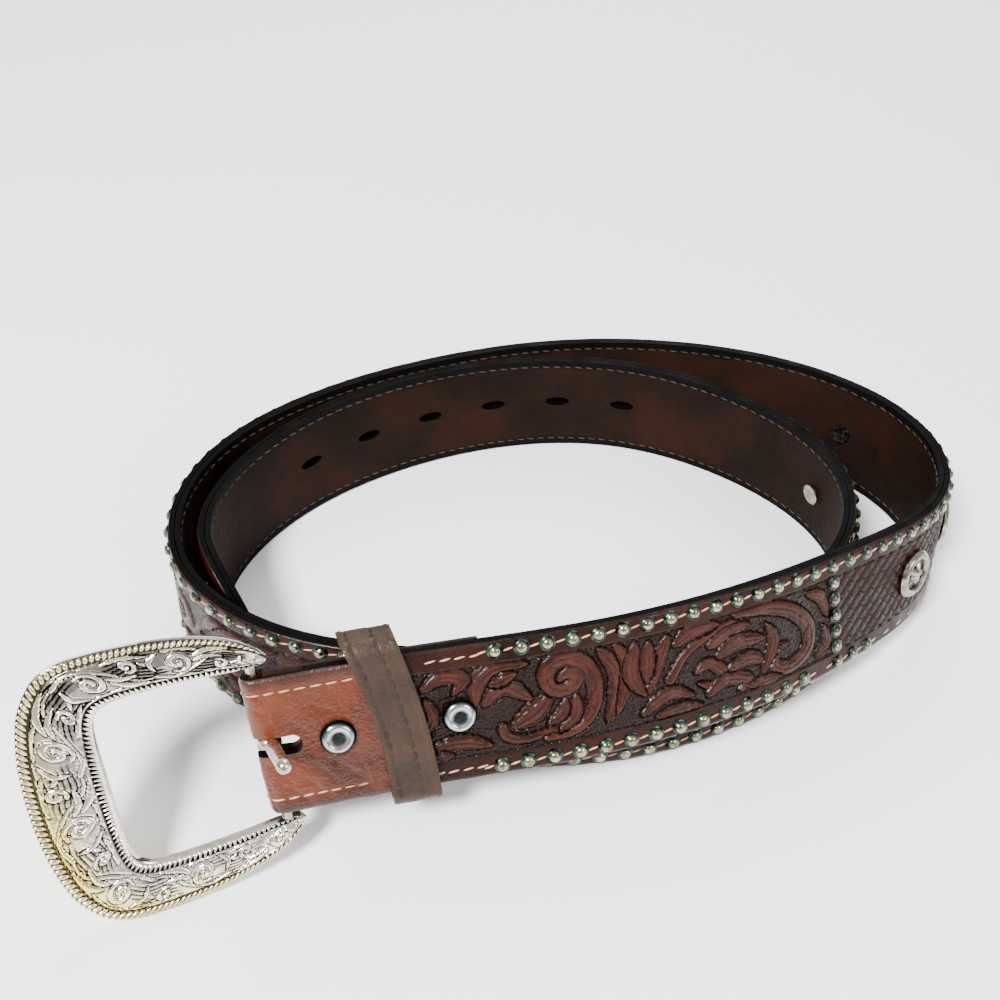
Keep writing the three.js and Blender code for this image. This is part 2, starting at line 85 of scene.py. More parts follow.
# the strap's route: bearing, share of the coil's radius, lean, lift share, turns outside it
ROUTE = [
    (227.6, 1.018, 28, 1, 0), (243.9, 0.711, 28, 1, 0), (276.8, 0.544, 27.5, 1.02, 0),
    (317.4, 0.573, 25, 0.96, 0), (347.6, 0.758, 18, 0.66, 0), (6.4, 1.024, 8, 0.26, 0),
    (25.2, 1.143, -4, 0, 0), (45, 1.045, -9.5, 0, 0), (66.7, 0.9, -9.8, 0, 0),
    (92.3, 0.803, -8.5, 0, 0), (120.6, 0.786, -7, 0, 0), (147, 0.875, -5, 0, 0),
    (169.4, 1.003, -3, 0, 0), (190.9, 1.016, 0, 0, 0), (211.9, 0.9, 5, 0, 1),
    (236.7, 0.66, 12, 0, 1), (276.9, 0.54, 20.5, 0, 1), (321.7, 0.596, 22.5, 0, 1),
    (353.5, 0.795, 15, 0, 1), (21.3, 0.898, 7, 0, 1), (49, 0.849, 2.5, 0, 1),
    (77.8, 0.81, 0.5, 0, 1), (108.1, 0.786, -2.5, 0, 1), (137.9, 0.836, -4.5, 0, 1),
    (163.8, 0.942, -3, 0, 1), (187.3, 1.016, -1, 0, 1), (208.7, 0.85, 1.5, 0, 1),
    (231, 0.66, 4, 0, 1),
]
COIL_RADIUS = STRAP_LENGTH / 10
TURN_CLEARANCE = 3.0


def make_route():
    """The route's points, lean, lift and heading, with its length from the fold."""
    rows = np.array(ROUTE, float)
    reach = rows[:, 1] * COIL_RADIUS - rows[:, 4] * (STACK + TURN_CLEARANCE)
    bearing = np.radians(rows[:, 0])
    lift = rows[:, 3] * FOLD_LIFT
    p = np.stack([reach * np.cos(bearing), reach * np.sin(bearing), rows[:, 2], lift], 1)
    q = np.vstack([2 * p[0] - p[1], p, 2 * p[-1] - p[-2]])
    k = p - (q[:-2] - 2 * p + q[2:]) / 6
    k = np.vstack([2 * k[0] - k[1], k, 2 * k[-1] - k[-2]])
    points, heading = [], []
    for i in range(len(p) - 1):
        for t in np.arange(24) / 24:
            w = np.array([(1 - t) ** 3, 3 * t**3 - 6 * t**2 + 4, -3 * t**3 + 3 * t**2 + 3 * t + 1, t**3])
            d = np.array([-((1 - t) ** 2), 3 * t**2 - 4 * t, -3 * t**2 + 2 * t + 1, t**2])
            points.append(w @ k[i:i + 4] / 6)
            way = d @ k[i:i + 4]
            heading.append(math.atan2(way[1], way[0]))
    points, heading = np.array(points), np.unwrap(heading)
    steps = np.hypot(*np.diff(points[:, :2], axis=0).T)
    return np.concatenate([[0], np.cumsum(steps)]), points, heading


route_s, route_p, route_heading = make_route()
shift = np.zeros(3)


def place(station, side, height):
    """Points of the strap in millimetres, in the part's frame."""
    station, side, height = (np.asarray(v, float) for v in (station, side, height))
    fade = np.clip((34 - station) / 24, 0, 1)
    u = station - (height - MIDDLE) * FOLD_SKEW * fade
    inside = np.clip(u, 0, route_s[-1])
    along = u - inside

    def at(column):
        return np.interp(inside, route_s, column)

    heading, lean = at(route_heading), np.radians(at(route_p[:, 2]))
    lift = np.maximum(0, at(route_p[:, 3]))
    up = height - MIDDLE
    out = side * np.cos(lean) - up * np.sin(lean)
    rise = lift + STACK / 2 * np.abs(np.sin(lean)) + (MIDDLE + up) * np.cos(lean)
    x = at(route_p[:, 0]) + np.cos(heading) * along + np.sin(heading) * out
    y = at(route_p[:, 1]) + np.sin(heading) * along - np.cos(heading) * out
    return np.stack(np.broadcast_arrays(x, y, rise + side * np.sin(lean)), -1) + shift


def find_shift():
    """The part's frame has its origin under the middle of the box."""
    u = np.array([7.8 + 8 * k for k in range(144)])
    high = np.vstack([place(u, FACE, 0.0), place(u, FACE, STRAP_WIDTH)]).max(0)
    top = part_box("strap_face")[1]
    return np.array([top.x * 1000 - high[0], top.y * 1000 - high[1], 0.005])


shift = find_shift()


def bar_frame():
    """The bar's middle and its directions: along it, away from the strap and out of the face."""
    side = -FOLD_INNER
    centre = place(FOLD_OUTER, side, MIDDLE)
    axis = place(FOLD_OUTER, side, STRAP_WIDTH) - place(FOLD_OUTER, side, 0)
    axis /= np.linalg.norm(axis)
    out = place(FOLD_OUTER, side + 10, MIDDLE) - centre
    away = -np.cross(axis, out)
    away /= np.linalg.norm(away)
    out = np.cross(axis, away)
    swung_away = away * math.cos(BUCKLE_SWING) + out * math.sin(BUCKLE_SWING)
    swung_out = out * math.cos(BUCKLE_SWING) - away * math.sin(BUCKLE_SWING)
    return centre, axis, swung_away, swung_out


bar_centre, bar_axis, bar_away, bar_out = bar_frame()

# camera: it looks down at 42 degrees with a roll of 3 degrees
EYE = (-22, -262, 280.611)
LENS = 41.4
pitch, roll = math.radians(42), math.radians(3.04)
right = Vector((1, 0, 0))
upward = Vector((0, math.sin(pitch), math.cos(pitch)))
cam_right = math.cos(roll) * right + math.sin(roll) * upward
cam_up = -math.sin(roll) * right + math.cos(roll) * upward
cam_back = cam_right.cross(cam_up)
camera_data = bpy.data.cameras.new("camera")
camera_data.lens = LENS
camera_data.clip_start, camera_data.clip_end = 0.01, 20
camera = bpy.data.objects.new("camera", camera_data)
bpy.context.scene.collection.objects.link(camera)
eye = (np.array(EYE) + shift) / 1000
turn = Matrix((cam_right, cam_up, cam_back)).transposed()
camera.matrix_world = Matrix.Translation(Vector(eye)) @ turn.to_4x4()
bpy.context.scene.camera = camera


# bench helpers
def srgb(r, g, b):
    """A colour read as eight-bit values, as the shader wants it."""
    def linear(c):
        c /= 255
        return c / 12.92 if c <= 0.04045 else ((c + 0.055) / 1.055) ** 2.4
    return (linear(r), linear(g), linear(b), 1)


def clear_selection():
    if bpy.context.object and bpy.context.object.mode != "OBJECT":
        bpy.ops.object.mode_set(mode="OBJECT")
    bpy.ops.object.select_all(action="DESELECT")


def keep_active(name):
    piece = bpy.context.active_object
    piece.name = piece.data.name = name
    return piece


def select_only(piece):
    clear_selection()
    piece.select_set(True)
    bpy.context.view_layer.objects.active = piece


def settle():
    bpy.ops.object.transform_apply(location=True, rotation=True, scale=True)


def corners(piece):
    co = np.empty(len(piece.data.vertices) * 3, np.float32)
    piece.data.vertices.foreach_get("co", co)
    return co.reshape(-1, 3).astype(float)


def set_corners(piece, co):
    piece.data.vertices.foreach_set("co", np.asarray(co, np.float32).ravel())
    piece.data.update()


def pick(piece, edges=None, faces=None, corner_mask=None):
    """Selects edges, faces or corners by a mask, in edit mode's own select mode."""
    mode = "EDGE" if edges is not None else "FACE" if faces is not None else "VERT"
    bpy.ops.object.mode_set(mode="EDIT")
    bpy.ops.mesh.select_mode(type=mode)
    bpy.ops.mesh.select_all(action="DESELECT")
    bpy.ops.object.mode_set(mode="OBJECT")
    if edges is not None:
        piece.data.edges.foreach_set("select", edges)
    elif faces is not None:
        piece.data.polygons.foreach_set("select", faces)
    else:
        piece.data.vertices.foreach_set("select", corner_mask)
    bpy.ops.object.mode_set(mode="EDIT")


def edge_ends(piece):
    ends = np.empty(len(piece.data.edges) * 2, np.int64)
    piece.data.edges.foreach_get("vertices", ends)
    return ends.reshape(-1, 2)


def face_values(piece, label):
    """The normals or the centres of a piece's faces."""
    values = np.empty(len(piece.data.polygons) * 3, np.float32)
    piece.data.polygons.foreach_get(label, values)
    return values.reshape(-1, 3)


def slab(name, start, end, columns, rows, dense, far, width=STRAP_WIDTH):
    """A flat strip whose dense side lies at one level and whose plain side at the other."""
    clear_selection()
    bpy.ops.mesh.primitive_grid_add(x_subdivisions=columns, y_subdivisions=rows, size=1)
    piece = keep_active(name)
    piece.scale = (end - start, width, 1)
    piece.location = ((start + end) / 2, width / 2, dense)
    settle()
    bpy.ops.object.mode_set(mode="EDIT")
    bpy.ops.mesh.select_mode(type="EDGE")
    bpy.ops.mesh.select_all(action="DESELECT")
    bpy.ops.mesh.select_non_manifold()
    bpy.ops.mesh.extrude_edges_move(TRANSFORM_OT_translate={"value": (0, 0, far - dense)})
    bpy.ops.object.mode_set(mode="OBJECT")
    co = corners(piece)
    on_end = (np.abs(co[:, 0] - start) < 1e-3) | (np.abs(co[:, 0] - end) < 1e-3)
    spare = on_end & (np.abs(co[:, 2] - far) < 1e-3) & (co[:, 1] > 1e-3) & (co[:, 1] < width - 1e-3)
    pick(piece, corner_mask=spare)
    bpy.ops.mesh.dissolve_verts()
    bpy.ops.object.mode_set(mode="OBJECT")
    co, ends = corners(piece), edge_ends(piece)
    low = np.abs(co[:, 2] - far) < 1e-3
    both = low[ends[:, 0]] & low[ends[:, 1]]
    flat = np.abs(co[ends[:, 0], 1] - co[ends[:, 1], 1]) < 1e-3
    pick(piece, edges=both & flat)
    bpy.ops.mesh.bridge_edge_loops()
    bpy.ops.mesh.select_all(action="SELECT")
    bpy.ops.mesh.normals_make_consistent(inside=False)
    bpy.ops.object.mode_set(mode="OBJECT")
    return piece


def merge(pieces, name):
    clear_selection()
    for piece in pieces:
        piece.select_set(True)
    bpy.context.view_layer.objects.active = pieces[0]
    bpy.ops.object.join()
    return keep_active(name)


def cut_through(piece, cutters):
    if cutters:
        cutter = merge(cutters, "cutter")
        select_only(piece)
        tool = piece.modifiers.new("cut", "BOOLEAN")
        tool.operation, tool.solver, tool.object = "DIFFERENCE", "EXACT", cutter
        bpy.ops.object.modifier_apply(modifier=tool.name)
        bpy.data.objects.remove(cutter)


def oval_cutter(x, y, half_x, half_y, z=0.0, depth=12.0):
    clear_selection()
    bpy.ops.mesh.primitive_cylinder_add(vertices=28, radius=1, depth=depth, location=(x, y, z))
    tool = keep_active("cutter")
    tool.scale = (half_x, half_y, 1)
    settle()
    return tool


def half_width(s):
    left = np.clip((STRAP_LENGTH - s) / TIP_TAPER, 0, 1)
    shape = np.sin(math.pi / 2 * left**0.72)
    return MIDDLE * np.maximum(0.16, shape)


def on_strap(co):
    """Flat bench places carried onto the route, the fold round the bar and the flap behind."""
    s, h, t = co.T
    height = MIDDLE + (h - MIDDLE) * half_width(s) / MIDDLE
    mean = FOLD_INNER + FACE / 2
    back = FOLD_OUTER - math.pi * mean
    turn = np.clip((FOLD_OUTER - s) / mean, 0, math.pi)
    r = FOLD_INNER + t
    past = np.maximum(0, back - s)
    share = np.clip(past / 11, 0, 1)
    ease = 1 - share**2 * (3 - 2 * share)
    flap = FLAP_TOP + (-2 * FOLD_INNER - FLAP_TOP) * ease - t
    u = np.where(s >= FOLD_OUTER, s, np.where(s >= back, FOLD_OUTER - r * np.sin(turn), FOLD_OUTER + past))
    side = np.where(s >= FOLD_OUTER, t, np.where(s >= back, -FOLD_INNER + r * np.cos(turn), flap))
    return place(u, side, height) / 1000


def carry(piece, mapping, body, angle, material=None):
    """Takes a piece from the bench to its place, in its material and on the body that moves it."""
    if material:
        piece.data.materials.append(material)
    set_corners(piece, mapping(corners(piece)))
    select_only(piece)
    bpy.ops.object.shade_smooth_by_angle(angle=math.radians(angle))
    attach(piece, body)


def in_frame(origin, x, y, z):
    """Carries a piece modelled about its own axes to an origin with three directions."""
    return lambda co: (origin + co[:, :1] * x + co[:, 1:2] * y + co[:, 2:] * z) / 1000


def note(piece, name, values):
    """A number at each corner that the materials read."""
    layer = piece.data.attributes.new(name, "FLOAT", "POINT")
    layer.data.foreach_set("value", np.asarray(values, np.float32))


# tooling
def smooth_line(points, count):
    p = np.array(points, float)
    if len(p) < 3:
        t = np.linspace(0, 1, count)[:, None]
        return p[0] * (1 - t) + p[-1] * t
    q = np.vstack([2 * p[0] - p[1], p, 2 * p[-1] - p[-2]])
    line = []
    per = max(2, count // (len(p) - 1))
    for i in range(len(p) - 1):
        a, b, c, d = q[i:i + 4]
        for t in np.arange(per) / per:
            line.append(0.5 * (2 * b + (c - a) * t + (2 * a - 5 * b + 4 * c - d) * t**2
                               + (3 * b - a - 3 * c + d) * t**3))
    line.append(p[-1])
    return np.array(line)


def curl(x, y, radius, turns, begin, inner=0.25, way=1):
    """A spiral's points, from its outer end to its eye."""
    t = np.linspace(0, 1, 14)
    r = radius * (1 - (1 - inner) * t)
    a = math.radians(begin) + way * 2 * math.pi * turns * t
    return [(x + rr * math.cos(aa), y + rr * math.sin(aa)) for rr, aa in zip(r, a)]


def press(field, ground, x, y, points, width, kind="leaf", height=0.56, cut=0.42, knife_width=0.45):
    """One tooled form: a crowned body with its vein, and the swivel knife's line round it."""
    line = smooth_line(points, 26)
    low, high = line.min(0) - width - 0.6, line.max(0) + width + 0.6
    near = np.nonzero((x > low[0]) & (x < high[0]) & (y > low[1]) & (y < high[1]))[0]
    if not len(near):
        return
    p = np.stack([x[near], y[near]], 1)
    a, d = line[:-1], np.diff(line, axis=0)
    length2 = np.maximum((d**2).sum(1), 1e-9)
    best = np.full(len(p), 1e9)
    along, sign = np.zeros(len(p)), np.ones(len(p))
    for j in range(len(a)):
        rel = p - a[j]
        t = np.clip((rel @ d[j]) / length2[j], 0, 1)
        gap = np.hypot(*(rel - t[:, None] * d[j]).T)
        closer = gap < best
        best = np.where(closer, gap, best)
        along = np.where(closer, (j + t) / len(a), along)
        side = np.sign(d[j][0] * rel[:, 1] - d[j][1] * rel[:, 0])
        sign = np.where(closer, side, sign)
    run = np.sqrt(length2).sum()
    if kind == "leaf":
        w = width * np.sin(math.pi * np.clip(0.08 + 0.92 * along, 0, 1)) ** 0.6
        w *= 1 + 0.14 * np.abs(np.sin(along * run / 2.6 * math.pi))
    elif kind == "scroll":
        w = width * (0.3 + 0.7 * np.sin(math.pi * along**0.8) ** 0.7)
    else:
        w = width * (1 - 0.45 * along)
    w = np.maximum(w, 0.12)
    e = best / w
    body = height * (0.12 + 0.88 * np.clip(1 - e**2, 0, 1) ** 0.7)
    if kind == "leaf":
        grooves = np.exp(-((best - 0.05) / 0.24) ** 2) + np.exp(-((e - 0.6) / 0.13) ** 2)
        body -= 0.5 * height * grooves * (along < 0.9)
        rib = np.sin(along * run * 1.6 - best * 2.4)
        body -= 0.25 * height * np.clip(rib, 0, 1) * (e > 0.6)
    elif kind == "scroll":
        grooves = sum(np.exp(-((e * sign - lane) / 0.09) ** 2) for lane in (-0.6, 0.1))
        body -= 0.5 * height * grooves * (along > 0.15)
        rib = np.sin(along * run * 1.5 + 1.4 * best * sign)
        body -= 0.34 * height * np.clip(rib, 0, 1) ** 2 * (e * sign < 0.1)
    inside = e < 1
    knife = (best >= w) & (best < w + knife_width)
    field[near] = np.where(inside, body, np.where(knife, -cut, field[near]))
    ground[near] = np.where(inside | knife, 0, ground[near])


PANEL = [
    ("stem", 1.3, [(64.5, 13), (65.5, 10.5), (70, 9), (77, 10), (84.5, 12), (88.5, 17.5)]),
    ("leaf", 2.6, [(68, 13.5), (73.5, 16.5), (78.5, 21.5)]),
    ("leaf", 2.2, [(57.5, 21.5), (58.5, 27), (63.5, 30.5), (72.5, 30.5)]),
    ("leaf", 2.1, [(60, 21), (65.5, 25), (73, 20)]),
    ("leaf", 1.5, [(62, 26), (69, 28.3)]),
    ("leaf", 1.9, [(44, 27.5), (49, 30.3), (54.5, 28.5), (51.5, 24.5)]),
    ("leaf", 1.7, [(46, 11), (53.5, 11), (61.5, 8.8)]),
    ("leaf", 1.2, [(44.5, 7.6), (51, 7.8)]),
    ("leaf", 1.8, [(43, 15), (45.5, 19.5), (44, 25)]),
    ("leaf", 2.0, [(92.5, 30.5), (96.5, 24.5), (96, 17), (93, 9)]),
    ("leaf", 1.8, [(97, 31), (100, 25.5), (99, 18.5), (96, 11)]),
    ("scroll", 2.3, [(80.5, 24.5), (83, 26), (85.5, 24), (82.5, 21.8), (78.8, 22.5), (77.2, 26.5),
                     (79.5, 29.6), (84, 29.8), (88.2, 27), (90.3, 22), (90, 16), (87.5, 11.5),
                     (83, 8.7), (76, 8.3)]),
    ("leaf", 1.7, [(85, 18.5), (84, 13.5), (79.5, 9.5)]),
    ("leaf", 1.5, [(82, 18), (80.5, 14.5), (76.5, 12.2)]),
    ("leaf", 1.9, [(102.5, 30), (100.8, 22), (104.5, 14.5)]),
    ("leaf", 1.9, [(112, 30), (108, 22), (105.5, 15)]),
    ("leaf", 1.7, [(106.5, 29.5), (105.2, 18)]),
    ("leaf", 1.7, [(103.5, 9.5), (111.5, 13.5), (119, 11)]),
    ("leaf", 1.3, [(107.5, 7.6), (115, 8.2), (121.5, 7.2)]),
    ("stem", 1.3, [(112, 17.5), (117.5, 24), (125.5, 27.8), (133, 29.5)]),
    ("leaf", 1.9, [(114.5, 27.5), (120, 30), (128.5, 30.2)]),
    ("scroll", 1.6, [(120, 17.5), (124.5, 19), (128.5, 15), (125.5, 12), (121, 13.6)]),
    ("leaf", 2.0, [(125, 24.3), (131, 26), (138.5, 27.5)]),
    ("leaf", 2.1, [(127.5, 20.5), (134, 22.8), (143.5, 21.5)]),
    ("leaf", 1.8, [(123.5, 9.6), (129.5, 12.6), (136.5, 10), (133, 7.4)]),
    ("leaf", 1.8, [(131, 15.5), (137.5, 16.8), (143, 14)]),
    ("scroll", 2.2, [(134, 31), (143, 30.5), (153, 27), (159.5, 20), (158.8, 12.5), (151.5, 9),
                     (146, 11.5), (147.5, 16), (151, 16.6)]),
    ("leaf", 1.7, [(142, 11), (146.5, 19), (144.5, 25.5)]),
    ("leaf", 1.6, [(160.5, 29.8), (165.5, 27), (167.4, 20)]),
    ("leaf", 1.6, [(162.5, 8.5), (166.8, 12), (165.5, 18)]),
    ("leaf", 1.4, [(136.5, 8), (143, 7.8), (148, 7.4)]),
]


def vine(start, flip=False):
    """One repeat of the flowing scroll with its leaves."""
    forms = [
        ("stem", 1.3, [(0, 19), (9, 27), (21, 27.5), (28, 19), (37, 11), (49, 10.5), (56, 19)]),
        ("scroll", 2.1, curl(15, 16.8, 7.6, 1.25, 60, 0.25, 1)),
        ("scroll", 2.1, curl(43, 21.2, 7.6, 1.25, 240, 0.25, 1)),
        ("leaf", 1.9, [(3, 24), (4.5, 28.5), (10.5, 30.4)]),
        ("leaf", 1.8, [(12, 29), (17.5, 30.6), (23.5, 29)]),
        ("leaf", 2.0, [(22.5, 25.5), (28.5, 29.5), (36, 30)]),
        ("leaf", 1.9, [(25.5, 22.5), (31, 24.6), (35, 20.5)]),
        ("leaf", 1.9, [(31, 14), (32.5, 9.5), (38.5, 7.8)]),
        ("leaf", 1.8, [(40, 9), (45.5, 7.5), (51.5, 9)]),
        ("leaf", 2.0, [(50.5, 12.5), (56, 8.3), (63.5, 8)]),
        ("leaf", 1.9, [(53.5, 15.5), (59, 13.4), (63, 17.5)]),
        ("leaf", 1.7, [(2, 13.5), (6, 9.5), (12, 7.7)]),
        ("leaf", 1.6, [(7, 12.5), (13, 9.6), (20, 8)]),
        ("leaf", 1.6, [(20, 12), (25, 9.5), (29.5, 8)]),
    ]
    for kind, width, points in forms:
        line = [(start + px, STRAP_WIDTH - py if flip else py) for px, py in points]
        yield kind, width, line


def border_lines(field, y):
    for level in (BORDER, STRAP_WIDTH - BORDER):
        field -= 0.3 * np.exp(-((y - level) / 0.3) ** 2)


def round_edges(z, y):
    """The strap's rims are rubbed round."""
    reach = np.minimum(y, STRAP_WIDTH - y)
    return z - 0.5 * np.clip(1 - reach / 1.1, 0, 1) ** 2


def floral(s, h, forms):
    field, ground = np.full(len(s), -0.24), np.ones(len(s))
    zone = np.abs(h - MIDDLE) < MIDDLE - BORDER
    for kind, width, points in forms:
        press(field, ground, s, h, points, 1.16 * width, kind)
    field = np.where(zone, field, 0)
    ground = np.where(zone, ground, 0)
    border_lines(field, h)
    return field, ground


def basket(s, h):
    """Basket stamps on the slant, whose pads cross by turns."""
    a, size = math.radians(40), 3.3
    x, y = (s * math.cos(a) + h * math.sin(a)) / size, (-s * math.sin(a) + h * math.cos(a)) / size
    across, along = x - np.floor(x) - 0.5, y - np.floor(y) - 0.5
    turned = (np.floor(x) + np.floor(y)) % 2 > 0.5
    long, wide = np.where(turned, along, across), np.where(turned, across, along)
    pad = np.clip(1 - np.abs(wide * 2.1) ** 4, 0, 1) * np.clip(1.15 - np.abs(long * 2) ** 3, 0, 1)
    bars = np.exp(-((np.abs(long) - 0.3) / 0.07) ** 2)
    field = 0.5 * pad - 0.3 - 0.16 * bars
    field = np.where(np.abs(h - MIDDLE) < MIDDLE - BORDER, field, 0.0)
    border_lines(field, h)
    return field, np.zeros(len(s))


def creases(s, h, seed, strength):
    """Soft bends and dents worn into leather."""
    dice = np.random.default_rng(seed)
    total = np.zeros(len(s))
    for _ in range(9):
        kx, ky, turn = dice.uniform(0.05, 0.5), dice.uniform(0.05, 0.35), dice.uniform(0, 6.3)
        total += np.sin(kx * s + ky * h * dice.choice([-1, 1]) + turn) / 9
    return strength * total


# materials
def new_group(name, inputs, outputs):
    group = bpy.data.node_groups.new(name, "ShaderNodeTree")
    for label, kind, value in inputs:
        made = group.interface.new_socket(label, in_out="INPUT", socket_type=kind)
        made.default_value = value
    for label, kind in outputs:
        group.interface.new_socket(label, in_out="OUTPUT", socket_type=kind)
    return group, group.nodes.new("NodeGroupInput"), group.nodes.new("NodeGroupOutput")


def mottled_group():
    """Two colours mixed by soft stains and fine mottling, with fine grain as a height."""
    ins = [("Light", "NodeSocketColor", (1, 1, 1, 1)), ("Dark", "NodeSocketColor", (0, 0, 0, 1)),
           ("Stain Size", "NodeSocketFloat", 60.0), ("Grain Size", "NodeSocketFloat", 1400.0)]
    outs = [("Color", "NodeSocketColor"), ("Grain", "NodeSocketFloat")]
    group, enter, leave = new_group("mottling", ins, outs)
    add, link = group.nodes.new, group.links.new
    where = add("ShaderNodeTexCoord")
    stain, fleck, grain = add("ShaderNodeTexNoise"), add("ShaderNodeTexNoise"), add("ShaderNodeTexVoronoi")
    link(enter.outputs["Stain Size"], stain.inputs["Scale"])
    stain.inputs["Detail"].default_value = 5
    fleck.inputs["Scale"].default_value = 700
    fleck.inputs["Detail"].default_value = 3
    link(enter.outputs["Grain Size"], grain.inputs["Scale"])
    for node in (stain, fleck, grain):
        link(where.outputs["Object"], node.inputs["Vector"])
    both = add("ShaderNodeMath")
    both.operation = "MULTIPLY_ADD"
    both.inputs[1].default_value = 0.35
    link(fleck.outputs["Fac"], both.inputs[0])
    link(stain.outputs["Fac"], both.inputs[2])
    spread = add("ShaderNodeMapRange")
    spread.inputs["From Min"].default_value = 0.45
    spread.inputs["From Max"].default_value = 0.9
    link(both.outputs[0], spread.inputs["Value"])
    mix = add("ShaderNodeMix")
    mix.data_type = "RGBA"
    link(spread.outputs["Result"], mix.inputs["Factor"])
    link(enter.outputs["Dark"], mix.inputs["A"])
    link(enter.outputs["Light"], mix.inputs["B"])
    link(mix.outputs["Result"], leave.inputs["Color"])
    link(grain.outputs["Distance"], leave.inputs["Grain"])
    return group


mottling = mottled_group()


class Recipe:
    """A material's nodes, put together by short calls."""

    def __init__(self, name, roughness=0.5, metallic=0.0, specular=0.5):
        self.material = bpy.data.materials.new(name)
        self.material.use_nodes = True
        self.tree = self.material.node_tree
        self.shader = self.tree.nodes["Principled BSDF"]
        self.shader.inputs["Roughness"].default_value = roughness
        self.shader.inputs["Metallic"].default_value = metallic
        self.shader.inputs["Specular IOR Level"].default_value = specular

    def add(self, kind, **inputs):
        node = self.tree.nodes.new(kind)
        for label, value in inputs.items():
            node.inputs[label.replace("_", " ")].default_value = value
        return node

    def link(self, a, b):
        self.tree.links.new(a, b)

    def mottled(self, light, dark, stain=60.0, grain=1400.0):
        node = self.add("ShaderNodeGroup")
        node.node_tree = mottling
        for label, value in (("Light", light), ("Dark", dark), ("Stain Size", stain), ("Grain Size", grain)):
            node.inputs[label].default_value = value
        return node

    def number(self, name):
        node = self.add("ShaderNodeAttribute")
        node.attribute_name = name
        return node.outputs["Fac"]

    def pattern(self, kind, **inputs):
        node = self.add(kind, **inputs)
        self.link(self.add("ShaderNodeTexCoord").outputs["Object"], node.inputs["Vector"])
        return node.outputs

    def noise(self, scale, detail=3.0):
        return self.pattern("ShaderNodeTexNoise", Scale=scale, Detail=detail)["Fac"]

    def ramp(self, value, low, high, first=0.0, last=1.0):
        node = self.add("ShaderNodeMapRange", From_Min=low, From_Max=high, To_Min=first, To_Max=last)
        self.link(value, node.inputs["Value"])
        return node.outputs["Result"]

    def feed(self, value, target):
        if isinstance(value, (float, tuple)):
            target.default_value = value
        else:
            self.link(value, target)

    def times(self, a, b):
        node = self.add("ShaderNodeMath")
        node.operation = "MULTIPLY"
        self.feed(a, node.inputs[0])
        self.feed(b, node.inputs[1])
        return node.outputs[0]

    def blend(self, factor, a, b):
        node = self.add("ShaderNodeMix")
        node.data_type = "RGBA"
        self.link(factor, node.inputs["Factor"])
        self.feed(a, node.inputs["A"])
        self.feed(b, node.inputs["B"])
        return node.outputs["Result"]

    def bump(self, height, distance, strength=1.0, before=None):
        node = self.add("ShaderNodeBump", Strength=strength, Distance=distance)
        self.link(height, node.inputs["Height"])
        if before is not None:
            self.link(before, node.inputs["Normal"])
        self.link(node.outputs["Normal"], self.shader.inputs["Normal"])
        return node.outputs["Normal"]

    def color(self, socket):
        self.link(socket, self.shader.inputs["Base Color"])

    def rough(self, value, smooth, coarse):
        self.link(self.ramp(value, 0.3, 0.7, smooth, coarse), self.shader.inputs["Roughness"])


def tooled_leather(name, light, dark, deep, gloss=0.42):
    """Carved leather: painted shade together with antique stain in the cuts and the pebbled ground, and a
    painted highlight together with rubbing on the high spots.
    """
    r = Recipe(name, gloss, 0.0, 0.15)
    base = r.mottled(light, dark, 45.0)
    relief, ground = r.number("relief"), r.number("ground")
    # Painted shade together with antique stain: low relief darkens towards the deep colour.
    low = r.ramp(relief, 0.08, -0.38)
    shade = r.blend(r.times(low, 0.9), base.outputs["Color"], deep)
    # Painted highlight together with rubbing: the raised places lighten where the noise allows.
    high = r.times(r.times(r.ramp(relief, 0.2, 0.5), r.ramp(r.noise(240.0, 5.0), 0.35, 0.7)), 0.55)
    shade = r.blend(high, shade, srgb(78, 38, 26))
    dots = r.times(ground, r.pattern("ShaderNodeTexVoronoi", Scale=1150.0)["Distance"])
    shade = r.blend(r.times(dots, 0.35), shade, deep)
    r.color(shade)
    n = r.bump(dots, 0.0005, 0.7)
    n = r.bump(base.outputs["Grain"], 0.00012, 0.5, n)
    r.bump(r.noise(260.0), 0.0003, 0.35, n)
    r.rough(r.noise(90.0), gloss - 0.1, gloss + 0.16)
    return r.material


def plain_leather(name, light, dark, gloss, stain=40.0, wear=None, specular=0.3, dark_rims=False):
    r = Recipe(name, gloss, 0.0, specular)
    base = r.mottled(light, dark, stain)
    shade = base.outputs["Color"]
    if wear:
        shade = r.blend(r.times(r.ramp(r.noise(34.0, 6.0), 0.52, 0.7), 0.6), shade, wear)
    if dark_rims:
        shade = r.blend(r.times(r.ramp(r.number("ground"), 0.2, 1.0), 0.75), shade, srgb(34, 17, 11))
    r.color(shade)
    n = r.bump(base.outputs["Grain"], 0.00016, 0.6)
    n = r.bump(r.noise(320.0, 5.0), 0.0005, 0.4, n)
    r.bump(r.noise(70.0, 4.0), 0.0022, 0.4, n)
    r.rough(r.noise(110.0), gloss - 0.1, gloss + 0.15)
    return r.material


leather_face = tooled_leather("tooled_face", srgb(44, 17, 9), srgb(23, 9, 5), srgb(8, 3, 2), 0.28)
leather_weave = tooled_leather("basket_face", srgb(40, 17, 11), srgb(25, 11, 7), srgb(6, 3, 2), 0.4)
leather_fold = plain_leather("saddle_tan", srgb(90, 38, 16), srgb(54, 23, 10), 0.28, 55.0,
                             srgb(38, 17, 9), 0.4, True)
leather_flap = plain_leather("flap_brown", srgb(40, 22, 14), srgb(24, 14, 10), 0.7, 40.0, None, 0.15)
leather_keeper = plain_leather("keeper_taupe", srgb(56, 38, 25), srgb(34, 23, 15), 0.5, 80.0,
                               srgb(23, 16, 11), 0.25)
edge_paint = plain_leather("edge_black", srgb(4, 4, 4), srgb(2, 2, 2), 0.6, 90.0, None, 0.04)


